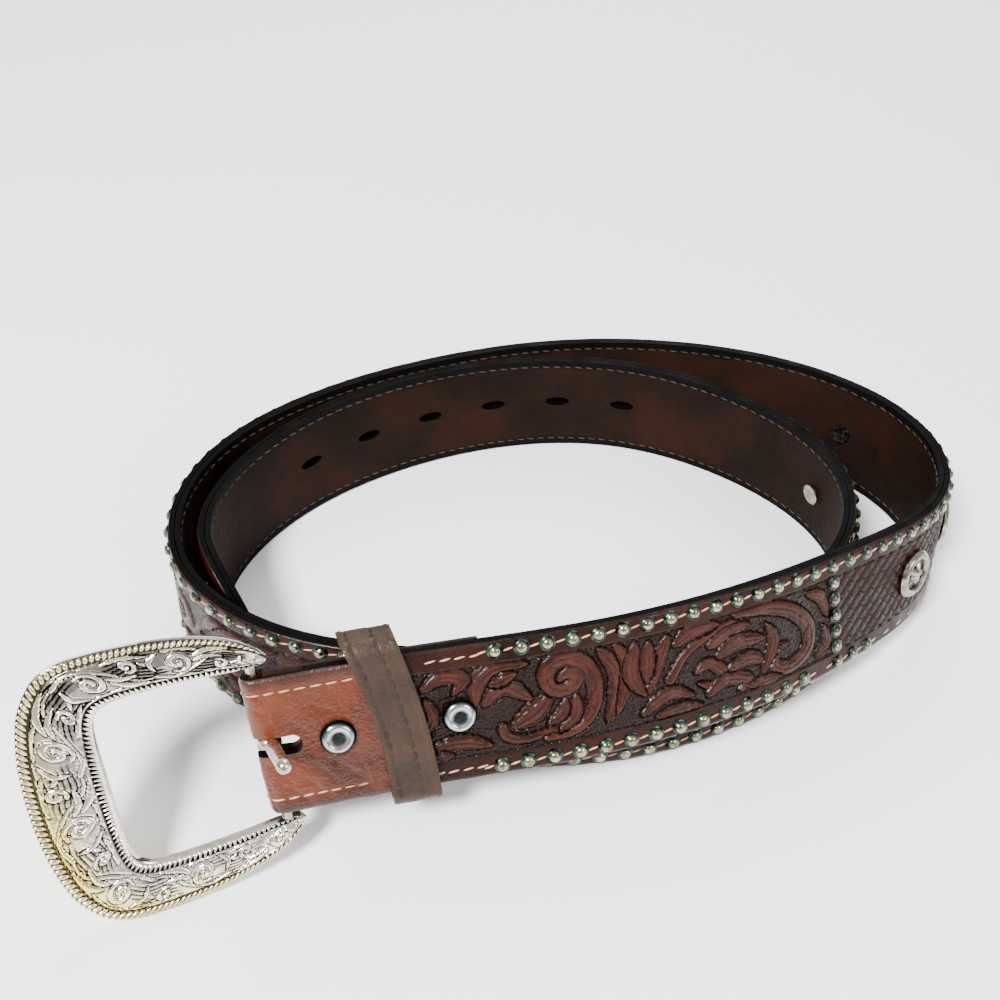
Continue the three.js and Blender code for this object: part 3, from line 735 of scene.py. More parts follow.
def lining_leather():
    """Brown leather that darkens to black along both rims."""
    r = Recipe("lining_brown", 0.72, 0.0, 0.06)
    base = r.mottled(srgb(29, 16, 9), srgb(13, 8, 5), 38.0)
    worn = r.times(r.ramp(r.noise(34.0, 6.0), 0.5, 0.7), 0.7)
    shade = r.blend(worn, base.outputs["Color"], srgb(38, 17, 9))
    shade = r.blend(r.ramp(r.number("rim"), 0.35, 0.75), shade, srgb(5, 5, 4))
    r.color(shade)
    n = r.bump(base.outputs["Grain"], 0.00016, 0.6)
    r.bump(r.noise(320.0, 5.0), 0.0006, 0.5, n)
    return r.material


leather_lining = lining_leather()


def thread(name, light, dark):
    r = Recipe(name, 0.75)
    base = r.mottled(light, dark, 300.0, 5000.0)
    r.color(base.outputs["Color"])
    r.bump(r.pattern("ShaderNodeTexWave", Scale=900.0, Distortion=1.0)["Fac"], 0.0001, 0.6)
    return r.material


thread_cream = thread("thread_cream", srgb(206, 164, 128), srgb(150, 108, 80))
thread_dark = thread("thread_dark", srgb(26, 17, 11), srgb(12, 8, 5))
thread_grey = thread("thread_grey", srgb(62, 46, 34), srgb(24, 17, 13))


def metal(name, bright, dull, deep, gloss, patina=None, stain=400.0, tarnished=True, gilded=False):
    """Metal with tarnish in its low places; on the snaps and the buckle's far arm the same darkening is a
    painted dark reflection and a painted shadow.
    """
    r = Recipe(name, gloss, 1.0)
    shade = r.blend(r.ramp(r.noise(stain, 5.0), 0.35, 0.68), dull, bright)
    if gilded:
        shade = r.blend(r.number("gilt"), shade, srgb(240, 216, 128))
    if tarnished:
        # Where relief is low the metal darkens: tarnish in hollows, and painted dark reflection and painted
        # shadow where the relief numbers were set for that.
        low = r.ramp(r.number("relief"), 0.5, 0.05)
        shade = r.blend(low, shade, deep)
    if patina:
        spots = r.times(r.ramp(r.noise(520.0, 4.0), 0.38, 0.58), low)
        shade = r.blend(spots, shade, patina)
        r.link(r.ramp(spots, 0.0, 1.0, 1.0, 0.15), r.shader.inputs["Metallic"])
    r.color(shade)
    r.rough(r.noise(900.0, 4.0), gloss - 0.08, gloss + 0.12)
    r.bump(r.noise(1500.0, 4.0), 0.00006, 0.4)
    return r.material


stud_metal = metal("stud_metal", srgb(180, 174, 144), srgb(88, 88, 68), srgb(8, 16, 13), 0.2,
                   srgb(10, 42, 33))
silver = metal("antique_silver", srgb(248, 244, 234), srgb(222, 214, 198), srgb(18, 12, 7), 0.15,
               gilded=True)
silver_gold = metal("silver_gold_tint", srgb(240, 230, 196), srgb(204, 188, 142), srgb(12, 8, 5), 0.18)
nickel = metal("nickel", srgb(196, 198, 198), srgb(150, 152, 152), srgb(14, 24, 22), 0.16)
polished = metal("polished_nickel", srgb(226, 216, 192), srgb(150, 138, 112), None, 0.2, tarnished=False)
concho_metal = metal("concho_metal", srgb(168, 164, 152), srgb(104, 100, 90), srgb(10, 9, 8), 0.24)


# the strap's leather, in lengths that meet under the keeper and the stud columns
def stud_at(index):
    return FIRST_STUD + index * STUD_PITCH


def painted_rims(piece, leather):
    """The broad faces take the leather and the steep ones the edge paint."""
    piece.data.materials.append(leather)
    piece.data.materials.append(edge_paint)
    return np.where(np.abs(face_values(piece, "normal")[:, 2]) > 0.35, 0, 1)


def leather_length(name, start, end, step, relief, top, cutters=(), worn=0.25):
    """One length of the outer leather, tooled on its face and cut through."""
    columns, rows = int((end - start) / step), int(STRAP_WIDTH / step)
    piece = slab(name, start, end, columns, rows, FACE, 0.0)
    cut_through(piece, cutters)
    co = corners(piece)
    up = co[:, 2] > FACE - 0.01
    field, ground = relief(co[:, 0], co[:, 1])
    rim = (co[:, 1] < 0.01) | (co[:, 1] > STRAP_WIDTH - 0.01)
    ends = (co[:, 0] < start + 0.01) | (co[:, 0] > end - 0.01)
    field = np.where(up & ~rim & ~ends, field, 0)
    note(piece, "relief", field)
    note(piece, "ground", np.where(up, ground, 0))
    field = field + np.where(up, creases(co[:, 0], co[:, 1], 4, worn), 0)
    z = np.where(up, round_edges(co[:, 2] + field, co[:, 1]), co[:, 2])
    set_corners(piece, np.column_stack([co[:, 0], co[:, 1], z]))
    slots = painted_rims(piece, top)
    if start < FLAP_START:
        piece.data.materials.append(leather_flap)
        slots = np.where(face_values(piece, "center")[:, 0] < FLAP_START, 2, slots)
    piece.data.polygons.foreach_set("material_index", slots.astype(np.int32))
    carry(piece, on_strap, "belt", 60)
    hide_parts("strap_face")


def fold_relief(s, h):
    """Plain leather with the marks that wear has bent into it near the slot and the keeper."""
    field = np.zeros(len(s))
    dice = np.random.default_rng(11)
    for _ in range(46):
        x0, y0 = dice.uniform(-6, 30), dice.uniform(3, 34)
        angle, reach = dice.uniform(-0.7, 0.5) - 0.9, dice.uniform(2, 8)
        dx, dy = s - x0, h - y0
        a = dx * math.cos(angle) + dy * math.sin(angle)
        b = -dx * math.sin(angle) + dy * math.cos(angle) + 0.02 * a**2
        field -= dice.uniform(0.08, 0.24) * np.exp(-(b / 0.45) ** 2) * np.exp(-(a / reach) ** 2)
    for level in (4.0, STRAP_WIDTH - 4.0):
        field -= 0.12 * np.exp(-((h - level) / 0.7) ** 2)
    rim = np.minimum(h, STRAP_WIDTH - h)
    blotch = 0.6 * np.sin(s * 0.9 + h) + 0.4 * np.sin(s * 0.37)
    return field, np.clip((4.2 - rim + 0.5 * blotch) / 3.0, 0, 1)


SLOT_START, SLOT_REACH, SLOT_HALF = -10.5, 19.9, 2.6
HOLE_HALF_LONG, HOLE_HALF_WIDE = 4.5, 1.8


def slot_cutters():
    """A long cutter with round ends: a cylinder drawn out along the strap."""
    tool = oval_cutter(SLOT_START, MIDDLE, SLOT_HALF, SLOT_HALF)
    co = corners(tool)
    co[:, 0] += np.where(co[:, 0] > SLOT_START, SLOT_REACH, 0)
    set_corners(tool, co)
    return [tool]


def hole_cutters():
    return [oval_cutter(u, MIDDLE + 1, HOLE_HALF_LONG, HOLE_HALF_WIDE) for u in HOLES]


fold_start = FOLD_OUTER - math.pi * (FOLD_INNER + 1) - (FLAP_LENGTH - FOLD_OUTER)
divider_u = [stud_at(i) for i in DIVIDERS]
leather_length("strap_fold", fold_start, FOLD_END, 0.55, fold_relief, leather_fold, slot_cutters(), 0.3)
leather_length("strap_front_panel", FOLD_END, divider_u[0], 0.3,
               lambda s, h: floral(s, h, PANEL), leather_face)
leather_length("strap_bend", divider_u[0], divider_u[1], 0.42, basket, leather_weave)
rear_forms = [f for k in range(10) for f in vine(divider_u[1] - 8 + VINE_RUN * k, k % 2 == 1)]
leather_length("strap_rear", divider_u[1], divider_u[2], 0.5,
               lambda s, h: floral(s, h, rear_forms), leather_face)
leather_length("strap_inner_weave", divider_u[2], divider_u[3], 0.45, basket, leather_weave)
last_forms = [f for k in range(4) for f in vine(divider_u[3] + 3 + VINE_RUN * k)]
leather_length("strap_last", divider_u[3], STRAP_LENGTH, 0.5,
               lambda s, h: floral(s, h, last_forms), leather_face, hole_cutters())


def lining():
    """The inner leather, creased across and darker along its rims."""
    columns = int((STRAP_LENGTH - LINING_START) / 1.5)
    piece = slab("lining", LINING_START, STRAP_LENGTH, columns, 30, LINING_IN, LINING_TOP)
    cut_through(piece, hole_cutters())
    co = corners(piece)
    inner = co[:, 2] < LINING_IN + 0.01
    rim = np.minimum(co[:, 1], STRAP_WIDTH - co[:, 1])
    bends = creases(co[:, 0], co[:, 1], 7, 0.16)
    dice = np.random.default_rng(3)
    for _ in range(90):
        x0, lean, deep = dice.uniform(40, 1150), dice.uniform(-0.25, 0.25), dice.uniform(0.04, 0.16)
        bends -= deep * np.exp(-((co[:, 0] - x0 - lean * (co[:, 1] - MIDDLE)) / 0.8) ** 2)
    groove = 0.15 * np.exp(-((rim - STUD_INSET) / 0.6) ** 2)
    z = np.where(inner & (rim > 0.01), co[:, 2] - bends * 0.6 + groove, co[:, 2])
    set_corners(piece, np.column_stack([co[:, 0], co[:, 1], np.minimum(z, LINING_TOP)]))
    uneven = 0.25 * np.sin(co[:, 0] * 0.11) + 0.2 * np.sin(co[:, 0] * 0.37 + co[:, 1])
    note(piece, "rim", np.clip(1.2 - rim / 4.2 + uneven * 0.5, 0, 1))
    slots = painted_rims(piece, leather_lining)
    piece.data.polygons.foreach_set("material_index", slots.astype(np.int32))
    carry(piece, on_strap, "belt", 50)
    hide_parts("strap_lining")


lining()


# threads and studs, made once and repeated along the flat strap
def one_stitch(x, y, z, length, tilt, thick):
    clear_selection()
    bpy.ops.mesh.primitive_uv_sphere_add(segments=8, ring_count=6, radius=1)
    piece = keep_active("stitch")
    piece.scale = (length / 2, thick, thick * 0.8)
    piece.rotation_euler = (0, 0, math.radians(tilt))
    piece.location = (x, y, z)
    settle()
    return piece


def repeat(piece, count, pitch, direction=(1, 0, 0)):
    select_only(piece)
    rowed = piece.modifiers.new("row", "ARRAY")
    rowed.use_relative_offset, rowed.use_constant_offset = False, True
    rowed.constant_offset_displace = [pitch * d for d in direction]
    rowed.count = count
    bpy.ops.object.modifier_apply(modifier=rowed.name)
    return piece


def seams(x, heights, z, length, tilt, count, pitch, thick=0.3):
    """A row of stitches at each height."""
    return [repeat(one_stitch(x, h, z, length, tilt, thick), count, pitch) for h in heights]


upper, lower = STRAP_WIDTH - STUD_INSET, STUD_INSET


def strap_seams():
    over = FACE + 0.02
    after = stud_at(DIVIDERS[3]) + SEAM_PITCH
    last_count = int((STRAP_LENGTH - TIP_TAPER - after) / SEAM_PITCH)
    rows = seams(FIRST_STUD - STUD_PITCH / 2, (upper, lower), over, 3.0, 12, DIVIDERS[3] + 1, STUD_PITCH)
    rows += seams(46.5, (upper - 0.5, lower + 0.5), over, 3.2, 8, 4, 3.9)
    rows += seams(after, (upper, lower), over, 3.0, 8, last_count, SEAM_PITCH)
    carry(merge(rows, "stitches_face"), on_strap, "belt", 60, thread_cream)
    rows = seams(-1, (STRAP_WIDTH - 4.2, 4.2), FACE - 0.02, 3.0, 3, 8, 3.8, 0.27)
    carry(merge(rows, "stitches_fold"), on_strap, "belt", 60, thread_cream)
    rows = seams(66, (upper, lower), LINING_IN + 0.05, 3.0, 5, 272, SEAM_PITCH, 0.26)
    carry(merge(rows, "stitches_lining"), on_strap, "belt", 60, thread_grey)


strap_seams()


def turned_rings(name, rings, sides):
    """A ring of corners drawn up and in through each radius and level, and closed."""
    clear_selection()
    radius, level = rings[0]
    bpy.ops.mesh.primitive_circle_add(vertices=sides, radius=radius, fill_type="NGON",
                                      location=(0, 0, level))
    piece = keep_active(name)
    settle()
    bpy.ops.object.mode_set(mode="EDIT")
    bpy.ops.mesh.select_all(action="SELECT")
    for radius_next, level_next in rings[1:]:
        bpy.ops.mesh.extrude_region_move(TRANSFORM_OT_translate={"value": (0, 0, level_next - level)})
        grow = radius_next / radius
        bpy.ops.transform.resize(value=(grow, grow, 1), center_override=(0, 0, level_next))
        radius, level = radius_next, level_next
    bpy.ops.mesh.select_mode(type="EDGE")
    bpy.ops.mesh.select_all(action="DESELECT")
    bpy.ops.mesh.select_non_manifold()
    bpy.ops.mesh.edge_face_add()
    bpy.ops.mesh.select_all(action="SELECT")
    bpy.ops.mesh.normals_make_consistent(inside=False)
    bpy.ops.object.mode_set(mode="OBJECT")
    return piece


STUD_RINGS = [(2.35, 0.0), (2.3, 0.22), (1.75, 0.38), (1.5, 0.83), (1.05, 1.24), (0.45, 1.4)]


def one_stud(x, y):
    piece = turned_rings("stud", STUD_RINGS, 14)
    piece.location = (x, y, FACE)
    settle()
    return piece


def studs_in_row(name, first, last, height, missing=None):
    parts = []
    runs = [(first, last)] if missing is None else [(first, missing - 1), (missing + 1, last)]
    for a, b in runs:
        parts.append(repeat(one_stud(stud_at(a), height), b - a + 1, STUD_PITCH))
    return finish_studs(parts, name)


def finish_studs(parts, name):
    piece = merge(parts, "studs_" + name)
    note(piece, "relief", np.clip((corners(piece)[:, 2] - FACE - 0.62) / 0.8, 0, 1))
    carry(piece, on_strap, "belt", 50, stud_metal)
    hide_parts(name)


split = round((DIVIDERS[1] + DIVIDERS[2]) / 2)
studs_in_row("stud_row_upper_panel", 0, 15, upper)
studs_in_row("stud_row_upper_bend", 16, 39, upper)
studs_in_row("stud_row_upper_rear", 40, split, upper)
studs_in_row("stud_row_upper_inner", split + 1, 110, upper)
studs_in_row("stud_row_upper_last", 111, 118, upper)
studs_in_row("stud_row_lower_panel", 0, 17, lower, 14)
studs_in_row("stud_row_lower_rear", 39, split, lower)
studs_in_row("stud_row_lower_inner", split + 1, 110, lower)
column_spaces = int((STRAP_WIDTH - 2 * STUD_INSET) / 4.9)
column_pitch = (STRAP_WIDTH - 2 * STUD_INSET) / column_spaces
for number, index in enumerate(DIVIDERS):
    column = repeat(one_stud(stud_at(index), STUD_INSET + column_pitch), column_spaces - 1,
                    column_pitch, (0, 1, 0))
    finish_studs([column], f"divider_{number + 1}")


# round pieces that stand square on the strap
def facing(station, side):
    """A place on the strap's middle line, with the way that the face looks there."""
    origin = place(station, side, MIDDLE)
    normal = place(station, side + 5, MIDDLE) - origin
    return origin, normal / np.linalg.norm(normal)


def on_seat(station, side):
    """Carries a piece modelled about its own upright axis to its seat on the strap."""
    origin, normal = facing(station, side)
    along = place(station + 0.5, side, MIDDLE) - place(station - 0.5, side, MIDDLE)
    third = np.cross(normal, along)
    third /= np.linalg.norm(third)
    return in_frame(origin, np.cross(third, normal), third, normal)


def seat_rise(station, radius):
    """How far the bent face stands proud of a flat seat of this radius."""
    origin, normal = facing(station, FACE)
    turns = np.radians(np.arange(12) * 30)
    rim = place(station + radius * np.cos(turns), FACE, MIDDLE + radius * np.sin(turns))
    return float(((rim - origin) @ normal).max())


CONCHO_RADIUS = 7.9
CONCHO_RINGS = [
    (3.6, -5.95), (3.6, -5.3), (3.3, -5.05), (1.9, -5.05), (1.9, 0.0), (7.7, 0.0), (7.9, 0.3), (7.9, 0.6),
    (7.5, 1.25), (7.0, 1.7), (6.4, 1.88), (5.8, 1.8), (5.3, 1.5), (5.05, 1.0), (4.9, 0.75), (4.4, 0.7),
    (3.8, 0.7), (3.2, 0.7), (2.6, 0.7), (2.0, 0.7), (1.4, 0.7), (0.8, 0.7), (0.25, 0.7),
]


def concho(name, station):
    """A star with raised beads round it, and the screw's head behind."""
    rise = max(0.0, seat_rise(station, CONCHO_RADIUS))
    piece = turned_rings("round_" + name, CONCHO_RINGS, 60)
    co = corners(piece)
    r, a = np.hypot(co[:, 0], co[:, 1]), np.arctan2(co[:, 1], co[:, 0])
    front = co[:, 2] > 0.65
    floor = front & (r < 4.95)
    part = np.abs(((a / (2 * math.pi) * 5) % 1) - 0.5) * 2
    point = 4.6 * (1 - 0.62 * (1 - part))
    star = np.clip(1 - r / np.maximum(point, 0.1), 0, 1)
    beads = (r > 6.1) & front
    co[:, 2] += np.where(floor, np.minimum(1.35, 1.9 * star + 0.25 * (star > 0)), 0)
    co[:, 2] += np.where(beads & (r < 7.1), 0.08 * np.cos(a * 30), 0)
    co[:, 2] -= np.where(co[:, 2] < -1, rise, 0)
    set_corners(piece, co)
    worn = np.where(floor, np.clip(7 * star, 0, 1), np.clip((r - 4.6) / 1.5, 0, 1))
    note(piece, "relief", np.where(co[:, 2] < -1, 0.9, worn))
    carry(piece, on_seat(station, FACE + SEAT + rise), "belt", 30, concho_metal)
    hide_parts(name)


for concho_name, concho_station in CONCHOS.items():
    concho(concho_name, concho_station)

SNAP_RINGS = [
    (4.2, -7.6), (4.2, -6.9), (4.0, -6.7), (1.6, -6.7), (1.6, 0.0), (4.4, 0.0), (4.7, 0.25), (4.7, 0.6),
    (4.35, 1.15), (3.75, 1.62), (3.2, 1.88), (2.9, 1.86), (2.6, 1.66), (2.45, 1.62), (1.6, 1.64),
    (0.6, 1.66),
]


def snap(name, station):
    piece = turned_rings("round_" + name, SNAP_RINGS, 40)
    co = corners(piece)
    r = np.hypot(co[:, 0], co[:, 1])
    # Relief numbers for the metal's darkening: the centre disc is set low as a painted dark reflection and
    # the outer rim as a painted shadow.
    worn = np.interp(r, [0, 2.35, 2.5, 3.2, 3.7, 4.1, 4.4], [0.09, 0.09, 0.8, 0.8, 0.3, 0.02, 0.0])
    note(piece, "relief", worn)
    carry(piece, on_seat(station, FACE + SEAT), "belt", 30, nickel)
    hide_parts(name)


for snap_name, snap_station in SNAPS.items():
    snap(snap_name, snap_station)


# keeper
KEEPER_WIDTH, KEEPER_WALL, KEEPER_CORNER = 13.0, 1.8, 2.4
KEEPER_SEAMS = (2.1, 8.0)
KEEPER_STATION = 36.5
KEEPER_LEAN = math.tan(math.radians(10))


def keeper_path():
    """The loop's inner line in the strap's own side and height, with the way its wall faces."""
    top, bottom = MIDDLE + 4 - KEEPER_CORNER, -(MIDDLE + 2.2 - KEEPER_CORNER)
    front, back = FACE + 0.4 - KEEPER_CORNER, FLAP_TOP - FACE - 4.2 + KEEPER_CORNER
    rows = []
    for side, height, begin in ((front, top, 0), (back, top, 90), (back, bottom, 180), (front, bottom, 270)):
        for turn in np.linspace(0, 90, 10):
            rows.append((side, height, math.radians(begin + turn)))
    for share in np.linspace(0.04, 0.96, 40):
        rows.append((front, bottom + (top - bottom) * share, 2 * math.pi))
    return np.array(rows)


def keeper():
    path = keeper_path()
    loop = np.column_stack([path[:, 0] + KEEPER_CORNER * np.cos(path[:, 2]),
                            path[:, 1] + KEEPER_CORNER * np.sin(path[:, 2])])
    steps = np.hypot(*np.diff(np.vstack([loop, loop[:1]]), axis=0).T)
    length = np.concatenate([[0], np.cumsum(steps)])
    closed = np.vstack([path, path[:1] + [[0, 0, 2 * math.pi]]])
    total = length[-1]
    piece = slab("keeper_loop", 0, total, 240, 30, KEEPER_WALL, 0.0, KEEPER_WIDTH)
    co = corners(piece)
    top = co[:, 2] > KEEPER_WALL - 0.01
    edge = np.minimum(co[:, 1], KEEPER_WIDTH - co[:, 1])
    seam = sum(np.exp(-((co[:, 1] - b) / 0.4) ** 2) for b in KEEPER_SEAMS)
    lip = 0.2 * np.exp(-((edge - 0.9) / 0.5) ** 2) - 0.24 * seam
    sag = creases(co[:, 0], co[:, 1] * 2, 21, 0.8)
    rub = 0.35 * np.clip(1 - edge / 0.7, 0, 1) ** 2
    co[:, 2] += np.where(top & (edge > 0.01), lip - rub + sag * 0.4, 0)

    def wrap(co):
        a, b, r = co[:, 0], co[:, 1] - KEEPER_WIDTH / 2, KEEPER_CORNER + co[:, 2]
        side, height, angle = (np.interp(a, length, closed[:, i]) for i in range(3))
        h = height + r * np.sin(angle)
        bow = 1 - (h / MIDDLE) ** 2
        u = KEEPER_STATION - KEEPER_LEAN * h + bow + b
        return place(u, side + r * np.cos(angle), MIDDLE + h) / 1000

    set_corners(piece, co)
    pick(piece, faces=np.abs(face_values(piece, "normal")[:, 0]) > 0.9)
    bpy.ops.mesh.delete(type="FACE")
    bpy.ops.object.mode_set(mode="OBJECT")
    carry(piece, wrap, "belt", 50, leather_keeper)
    bpy.ops.object.mode_set(mode="EDIT")
    bpy.ops.mesh.select_all(action="SELECT")
    bpy.ops.mesh.remove_doubles(threshold=0.00002)
    bpy.ops.object.mode_set(mode="OBJECT")
    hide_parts("keeper")
    count = int(total / 3.4)
    rows = seams(1.7, KEEPER_SEAMS, KEEPER_WALL - 0.06, 2.5, 0, count, total / count)
    carry(merge(rows, "stitches_keeper"), wrap, "belt", 60, thread_dark)


keeper()

# buckle
BUCKLE_ROWS = [
    (-0.08, 0.956, -0.074, 0.648), (-0.01, 0.956, -0.027, 0.737), (0.1, 0.96, 0.061, 0.835),
    (0.25, 0.982, 0.185, 0.913), (0.425, 1, 0.336, 0.966), (0.6, 1.013, 0.487, 0.994),
    (0.75, 1.013, 0.622, 1.003), (0.862, 0.996, 0.739, 0.992), (0.94, 0.938, 0.824, 0.941),
    (0.98, 0.823, 0.887, 0.838), (0.995, 0.642, 0.941, 0.682), (1, 0.398, 0.98, 0.433),
    (1, 0.177, 0.997, 0.182), (1, 0, 1, 0),
]
OPEN_HALF, BUCKLE_HALF = MIDDLE + 3.6, MIDDLE + 3.6 + 13.2
OPEN_DEPTH, BUCKLE_REACH = 40.0, 59.5
BUCKLE_BACK = -1.5
BUCKLE_REPEAT = 21.0
ROPE_PITCH = 1.3


def buckle_lines():
    """The frame's inner and outer edges, from the lower arm's tip round to the upper one's."""
    low = [(ib * OPEN_DEPTH, -ia * OPEN_HALF, ob * BUCKLE_REACH, -oa * BUCKLE_HALF)
           for ib, ia, ob, oa in BUCKLE_ROWS]
    high = [(a, -b, c, -d) for a, b, c, d in reversed(low[:-1])]
    rows = np.array(low + high)
    inner, outer = smooth_line(rows[:, :2], 26 * 12), smooth_line(rows[:, 2:], 26 * 12)
    steps = np.hypot(*np.diff((inner + outer) / 2, axis=0).T)
    return np.concatenate([[0], np.cumsum(steps)]), inner, outer


buckle_s, buckle_inner, buckle_outer = buckle_lines()
BUCKLE_RUN = float(buckle_s[-1])
BUCKLE_FLAT = 14.0


def on_buckle(co):
    """Flat places along the frame, across it and out of its face, carried to the buckle."""
    s, across = np.clip(co[:, 0], 0, BUCKLE_RUN), co[:, 1] / BUCKLE_FLAT
    inner = np.column_stack([np.interp(s, buckle_s, buckle_inner[:, i]) for i in range(2)])
    outer = np.column_stack([np.interp(s, buckle_s, buckle_outer[:, i]) for i in range(2)])
    p = inner + (outer - inner) * across[:, None]
    tip = 0.6 + 0.4 * np.clip(np.minimum(s, BUCKLE_RUN - s) / 5, 0, 1)
    n = co[:, 2] * tip
    return (bar_centre + p[:, :1] * bar_away + p[:, 1:] * bar_axis + n[:, None] * bar_out) / 1000


def buckle_crown(across):
    """The face's height over the frame's width: a rolled inner edge, a dished field and a rim."""
    return np.interp(across, [0, 0.02, 0.1, 0.14, 0.2, 0.5, 0.8, 0.84, 0.9, 0.97, 1],
                     [0.9, 1.35, 1.7, 1.8, 2.0, 2.4, 2.0, 1.4, 1.1, 0.7, 0.4])


def buckle():
    """The cast frame with its engraved scrolls, hatched ground and toothed inner border."""
    piece = slab("buckle_engraved", 0, BUCKLE_RUN, 800, 60, 0.0, BUCKLE_BACK, BUCKLE_FLAT)
    co = corners(piece)
    top = co[:, 2] > -0.01
    s, y = co[:, 0], co[:, 1]
    across = y / BUCKLE_FLAT
    field, ground = np.full(len(s), -0.1), np.ones(len(s))
    for k in range(int(BUCKLE_RUN / BUCKLE_REPEAT) + 1):
        x = 1 + k * BUCKLE_REPEAT
        flip = k % 2 == 1
        forms = [
            ("stem", 0.42, [(0, 4.0), (5, 3.1), (11, 5.6), (16, 9.6), (21, 10.2)]),
            ("scroll", 0.62, curl(6.6, 7.4, 3.2, 1.6, 235, 0.1, 1)),
            ("scroll", 0.5, curl(16.4, 5.2, 2.0, 1.3, 120, 0.12, -1)),
            ("leaf", 0.62, [(10.8, 8.8), (14, 10.6), (19.6, 11.3)]),
            ("leaf", 0.5, [(10.4, 7.2), (13.4, 8.5), (17.6, 8.2)]),
            ("leaf", 0.5, [(12, 3.2), (16, 2.7), (21.4, 3.5)]),
            ("leaf", 0.5, [(0.6, 5.8), (0.4, 8.6), (3.2, 11)]),
            ("leaf", 0.45, [(4.2, 11.2), (8, 11.5), (12, 10.8)]),
            ("leaf", 0.45, [(19.2, 5), (21.2, 6.4), (22, 8.6)]),
        ]
        for kind, width, points in forms:
            line = [(x + px, BUCKLE_FLAT - py if flip else py) for px, py in points]
            press(field, ground, s, y, line, width, kind, 0.2, 0.24, 0.27)
    zone = (across > 0.19) & (across < 0.83)
    shaded = np.clip(0.5 + np.sin(s * 0.31 + 1.3) + 0.6 * np.sin(y * 0.9 + s * 0.17), 0, 1)
    hatch = np.clip(np.sin(y * 6.2 + np.sin(s * 0.55) * 2.4), 0, 1) * shaded
    field -= 0.14 * hatch * ground
    tooth = np.abs(((s / 1.45) % 1) - 0.5) * 2
    border = (across > 0.035) & (across < 0.155)
    zigzag = np.where(border, 0.24 * (tooth > (across - 0.035) / 0.12), 0.0)
    lines = -0.2 * np.exp(-((across - 0.172) / 0.01) ** 2)
    rim = -0.3 * np.exp(-((across - 0.84) / 0.012) ** 2)
    shape = np.where(zone, field, zigzag + lines + rim)
    fade = np.clip(np.minimum(s, BUCKLE_RUN - s) / 3, 0, 1)
    z = np.where(top, buckle_crown(across) + shape * fade, co[:, 2])
    z = np.where(top & ((y < 0.01) | (y > BUCKLE_FLAT - 0.01)), 0.4, z)
    # Painted dark reflection: the ground of the far arm gets a lower number, so it darkens.
    far_arm_painted_dark = np.clip((s / BUCKLE_RUN - 0.6) / 0.1, 0, 1)
    low = 0.56 - 0.12 * shaded - 0.5 * hatch - 0.3 * far_arm_painted_dark
    carved = np.where(ground > 0.5, low, np.clip((field + 0.2) / 0.28, 0, 1))
    deep = np.where(zone, carved, np.where(across < 0.5, 0.75, 0.1) + lines * 4)
    deep = np.where(border, np.where(zigzag > 0, 0.9, 0.02), deep)
    note(piece, "relief", np.where(top, np.clip(deep, 0, 1), 0.8))
    gilt = np.exp(-((s / BUCKLE_RUN - 0.4) / 0.2) ** 2) * np.clip((across - 0.4) * 3, 0, 1)
    note(piece, "gilt", gilt)
    set_corners(piece, np.column_stack([s, y, z]))
    carry(piece, on_buckle, "buckle", 50, silver)
    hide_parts("buckle_frame")


def buckle_rope():
    clear_selection()
    bpy.ops.mesh.primitive_uv_sphere_add(segments=10, ring_count=8, radius=1)
    bead = keep_active("rope_bead")
    bead.scale = (0.56, 1.35, 0.74)
    bead.rotation_euler = (0, 0, math.radians(-36))
    bead.location = (2.0, BUCKLE_FLAT * 0.925, 1.2)
    settle()
    count = int((BUCKLE_RUN - 4) / ROPE_PITCH)
    rope = repeat(bead, count, (BUCKLE_RUN - 4) / (count - 1))
    note(rope, "relief", np.clip((corners(rope)[:, 2] - 1.3) / 0.6, 0, 1))
    rope.name = rope.data.name = "buckle_rope"
    carry(rope, on_buckle, "buckle", 50, silver_gold)


def buckle_bar():
    clear_selection()
    bpy.ops.mesh.primitive_cylinder_add(vertices=28, radius=BAR_RADIUS, depth=2 * (OPEN_HALF + 1.2))
    rod = keep_active("buckle_bar")
    note(rod, "relief", np.full(len(rod.data.vertices), 0.7))
    to_bar = in_frame(bar_centre, bar_away, -bar_out, bar_axis)
    carry(rod, to_bar, "buckle", 40, polished)


buckle()
buckle_rope()
buckle_bar()


# prong
PRONG_RING, PRONG_OUT, PRONG_TILT = 2.75, math.radians(92), math.radians(17)
PRONG_RINGS = [
    (1.15, 2.5), (1.2, 4.4), (1.55, 6.6), (1.85, 9.0), (1.8, 20.0), (1.7, 34.0), (1.66, 40.0),
    (1.8, 41.4), (1.78, 42.6), (1.3, 43.6), (0.6, 44.0),
]


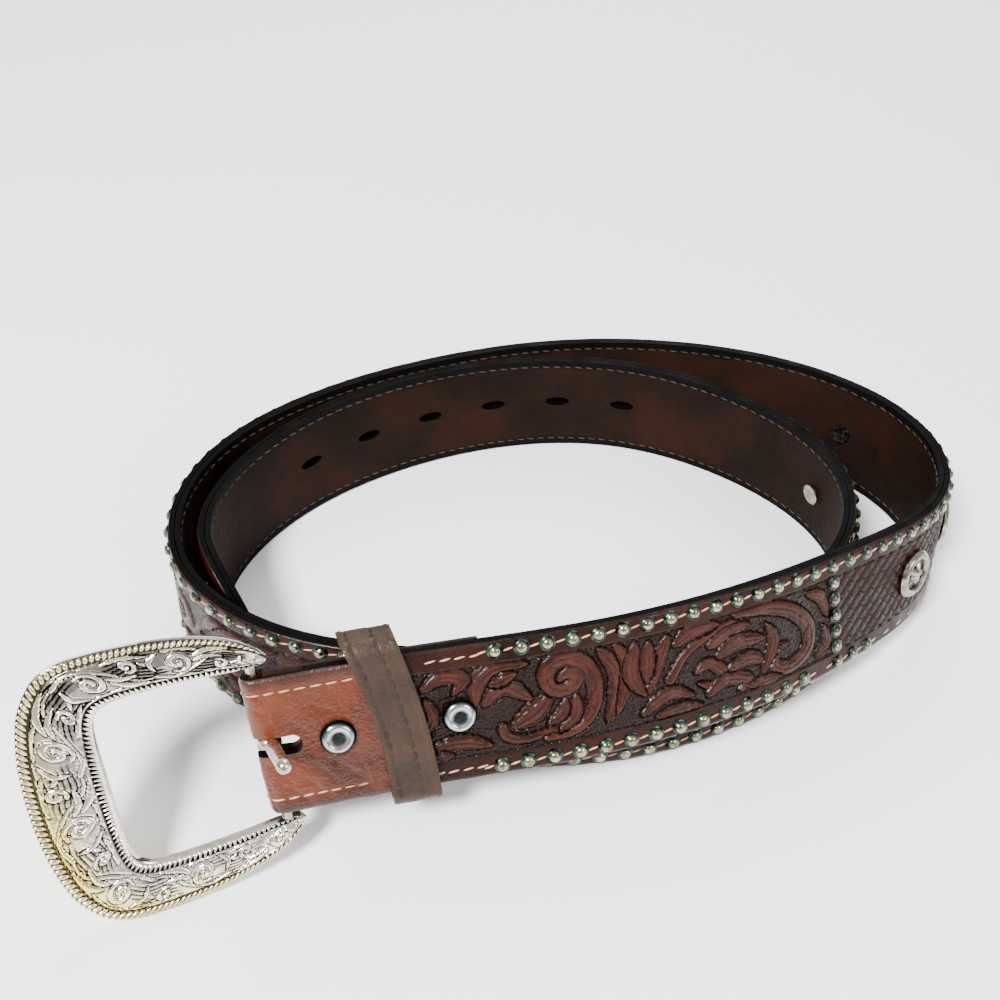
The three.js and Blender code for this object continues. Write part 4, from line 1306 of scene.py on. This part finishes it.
def prong():
    """A ring round the bar with its shank, a little tilted on it."""
    shank = turned_rings("shank", PRONG_RINGS, 20)
    clear_selection()
    bpy.ops.mesh.primitive_torus_add(major_radius=PRONG_RING, minor_radius=0.45, major_segments=24,
                                     minor_segments=10, rotation=(math.pi / 2, 0, 0))
    ring = keep_active("ring")
    ring.scale = (1, 1, 2.8)
    settle()
    piece = merge([shank, ring], "prong_polished")
    flat = bar_away * math.cos(PRONG_OUT) + bar_out * math.sin(PRONG_OUT)
    along = flat * math.cos(PRONG_TILT) + bar_axis * math.sin(PRONG_TILT)
    spin = bar_axis * math.cos(PRONG_TILT) - flat * math.sin(PRONG_TILT)
    across = np.cross(along, spin)
    carry(piece, in_frame(bar_centre, across, spin, along), "prong", 40, polished)
    bpy.ops.object.mode_set(mode="EDIT")
    bpy.ops.mesh.select_all(action="SELECT")
    bpy.ops.mesh.normals_make_consistent(inside=False)
    bpy.ops.object.mode_set(mode="OBJECT")
    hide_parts("prong")


prong()

# floor and light
clear_selection()
bpy.ops.mesh.primitive_plane_add(size=6, location=(0, 0, -0.0004))
floor = keep_active("floor")
white = Recipe("floor_white", 0.9)
white.color(white.mottled((0.93, 0.93, 0.93, 1), (0.9, 0.9, 0.9, 1), 2.0).outputs["Color"])
floor.data.materials.append(white.material)


def lamp(name, where, size, power):
    data = bpy.data.lights.new(name, "AREA")
    data.shape, data.size, data.energy = "DISK", size, power
    made = bpy.data.objects.new(name, data)
    bpy.context.scene.collection.objects.link(made)
    made.location = where
    made.rotation_euler = (-Vector(where)).to_track_quat("-Z", "Y").to_euler()


lamp("key", (-0.45, -0.7, 1.05), 0.3, 52)
lamp("fill", (0.9, -0.6, 0.7), 0.6, 8)
lamp("back", (0.1, 1.0, 0.9), 0.7, 14)
world = bpy.data.worlds.new("studio")
world.use_nodes = True
world.node_tree.nodes["Background"].inputs["Color"].default_value = (1, 1, 1, 1)
world.node_tree.nodes["Background"].inputs["Strength"].default_value = 0.8
bpy.context.scene.world = world

bpy.context.view_layer.update()
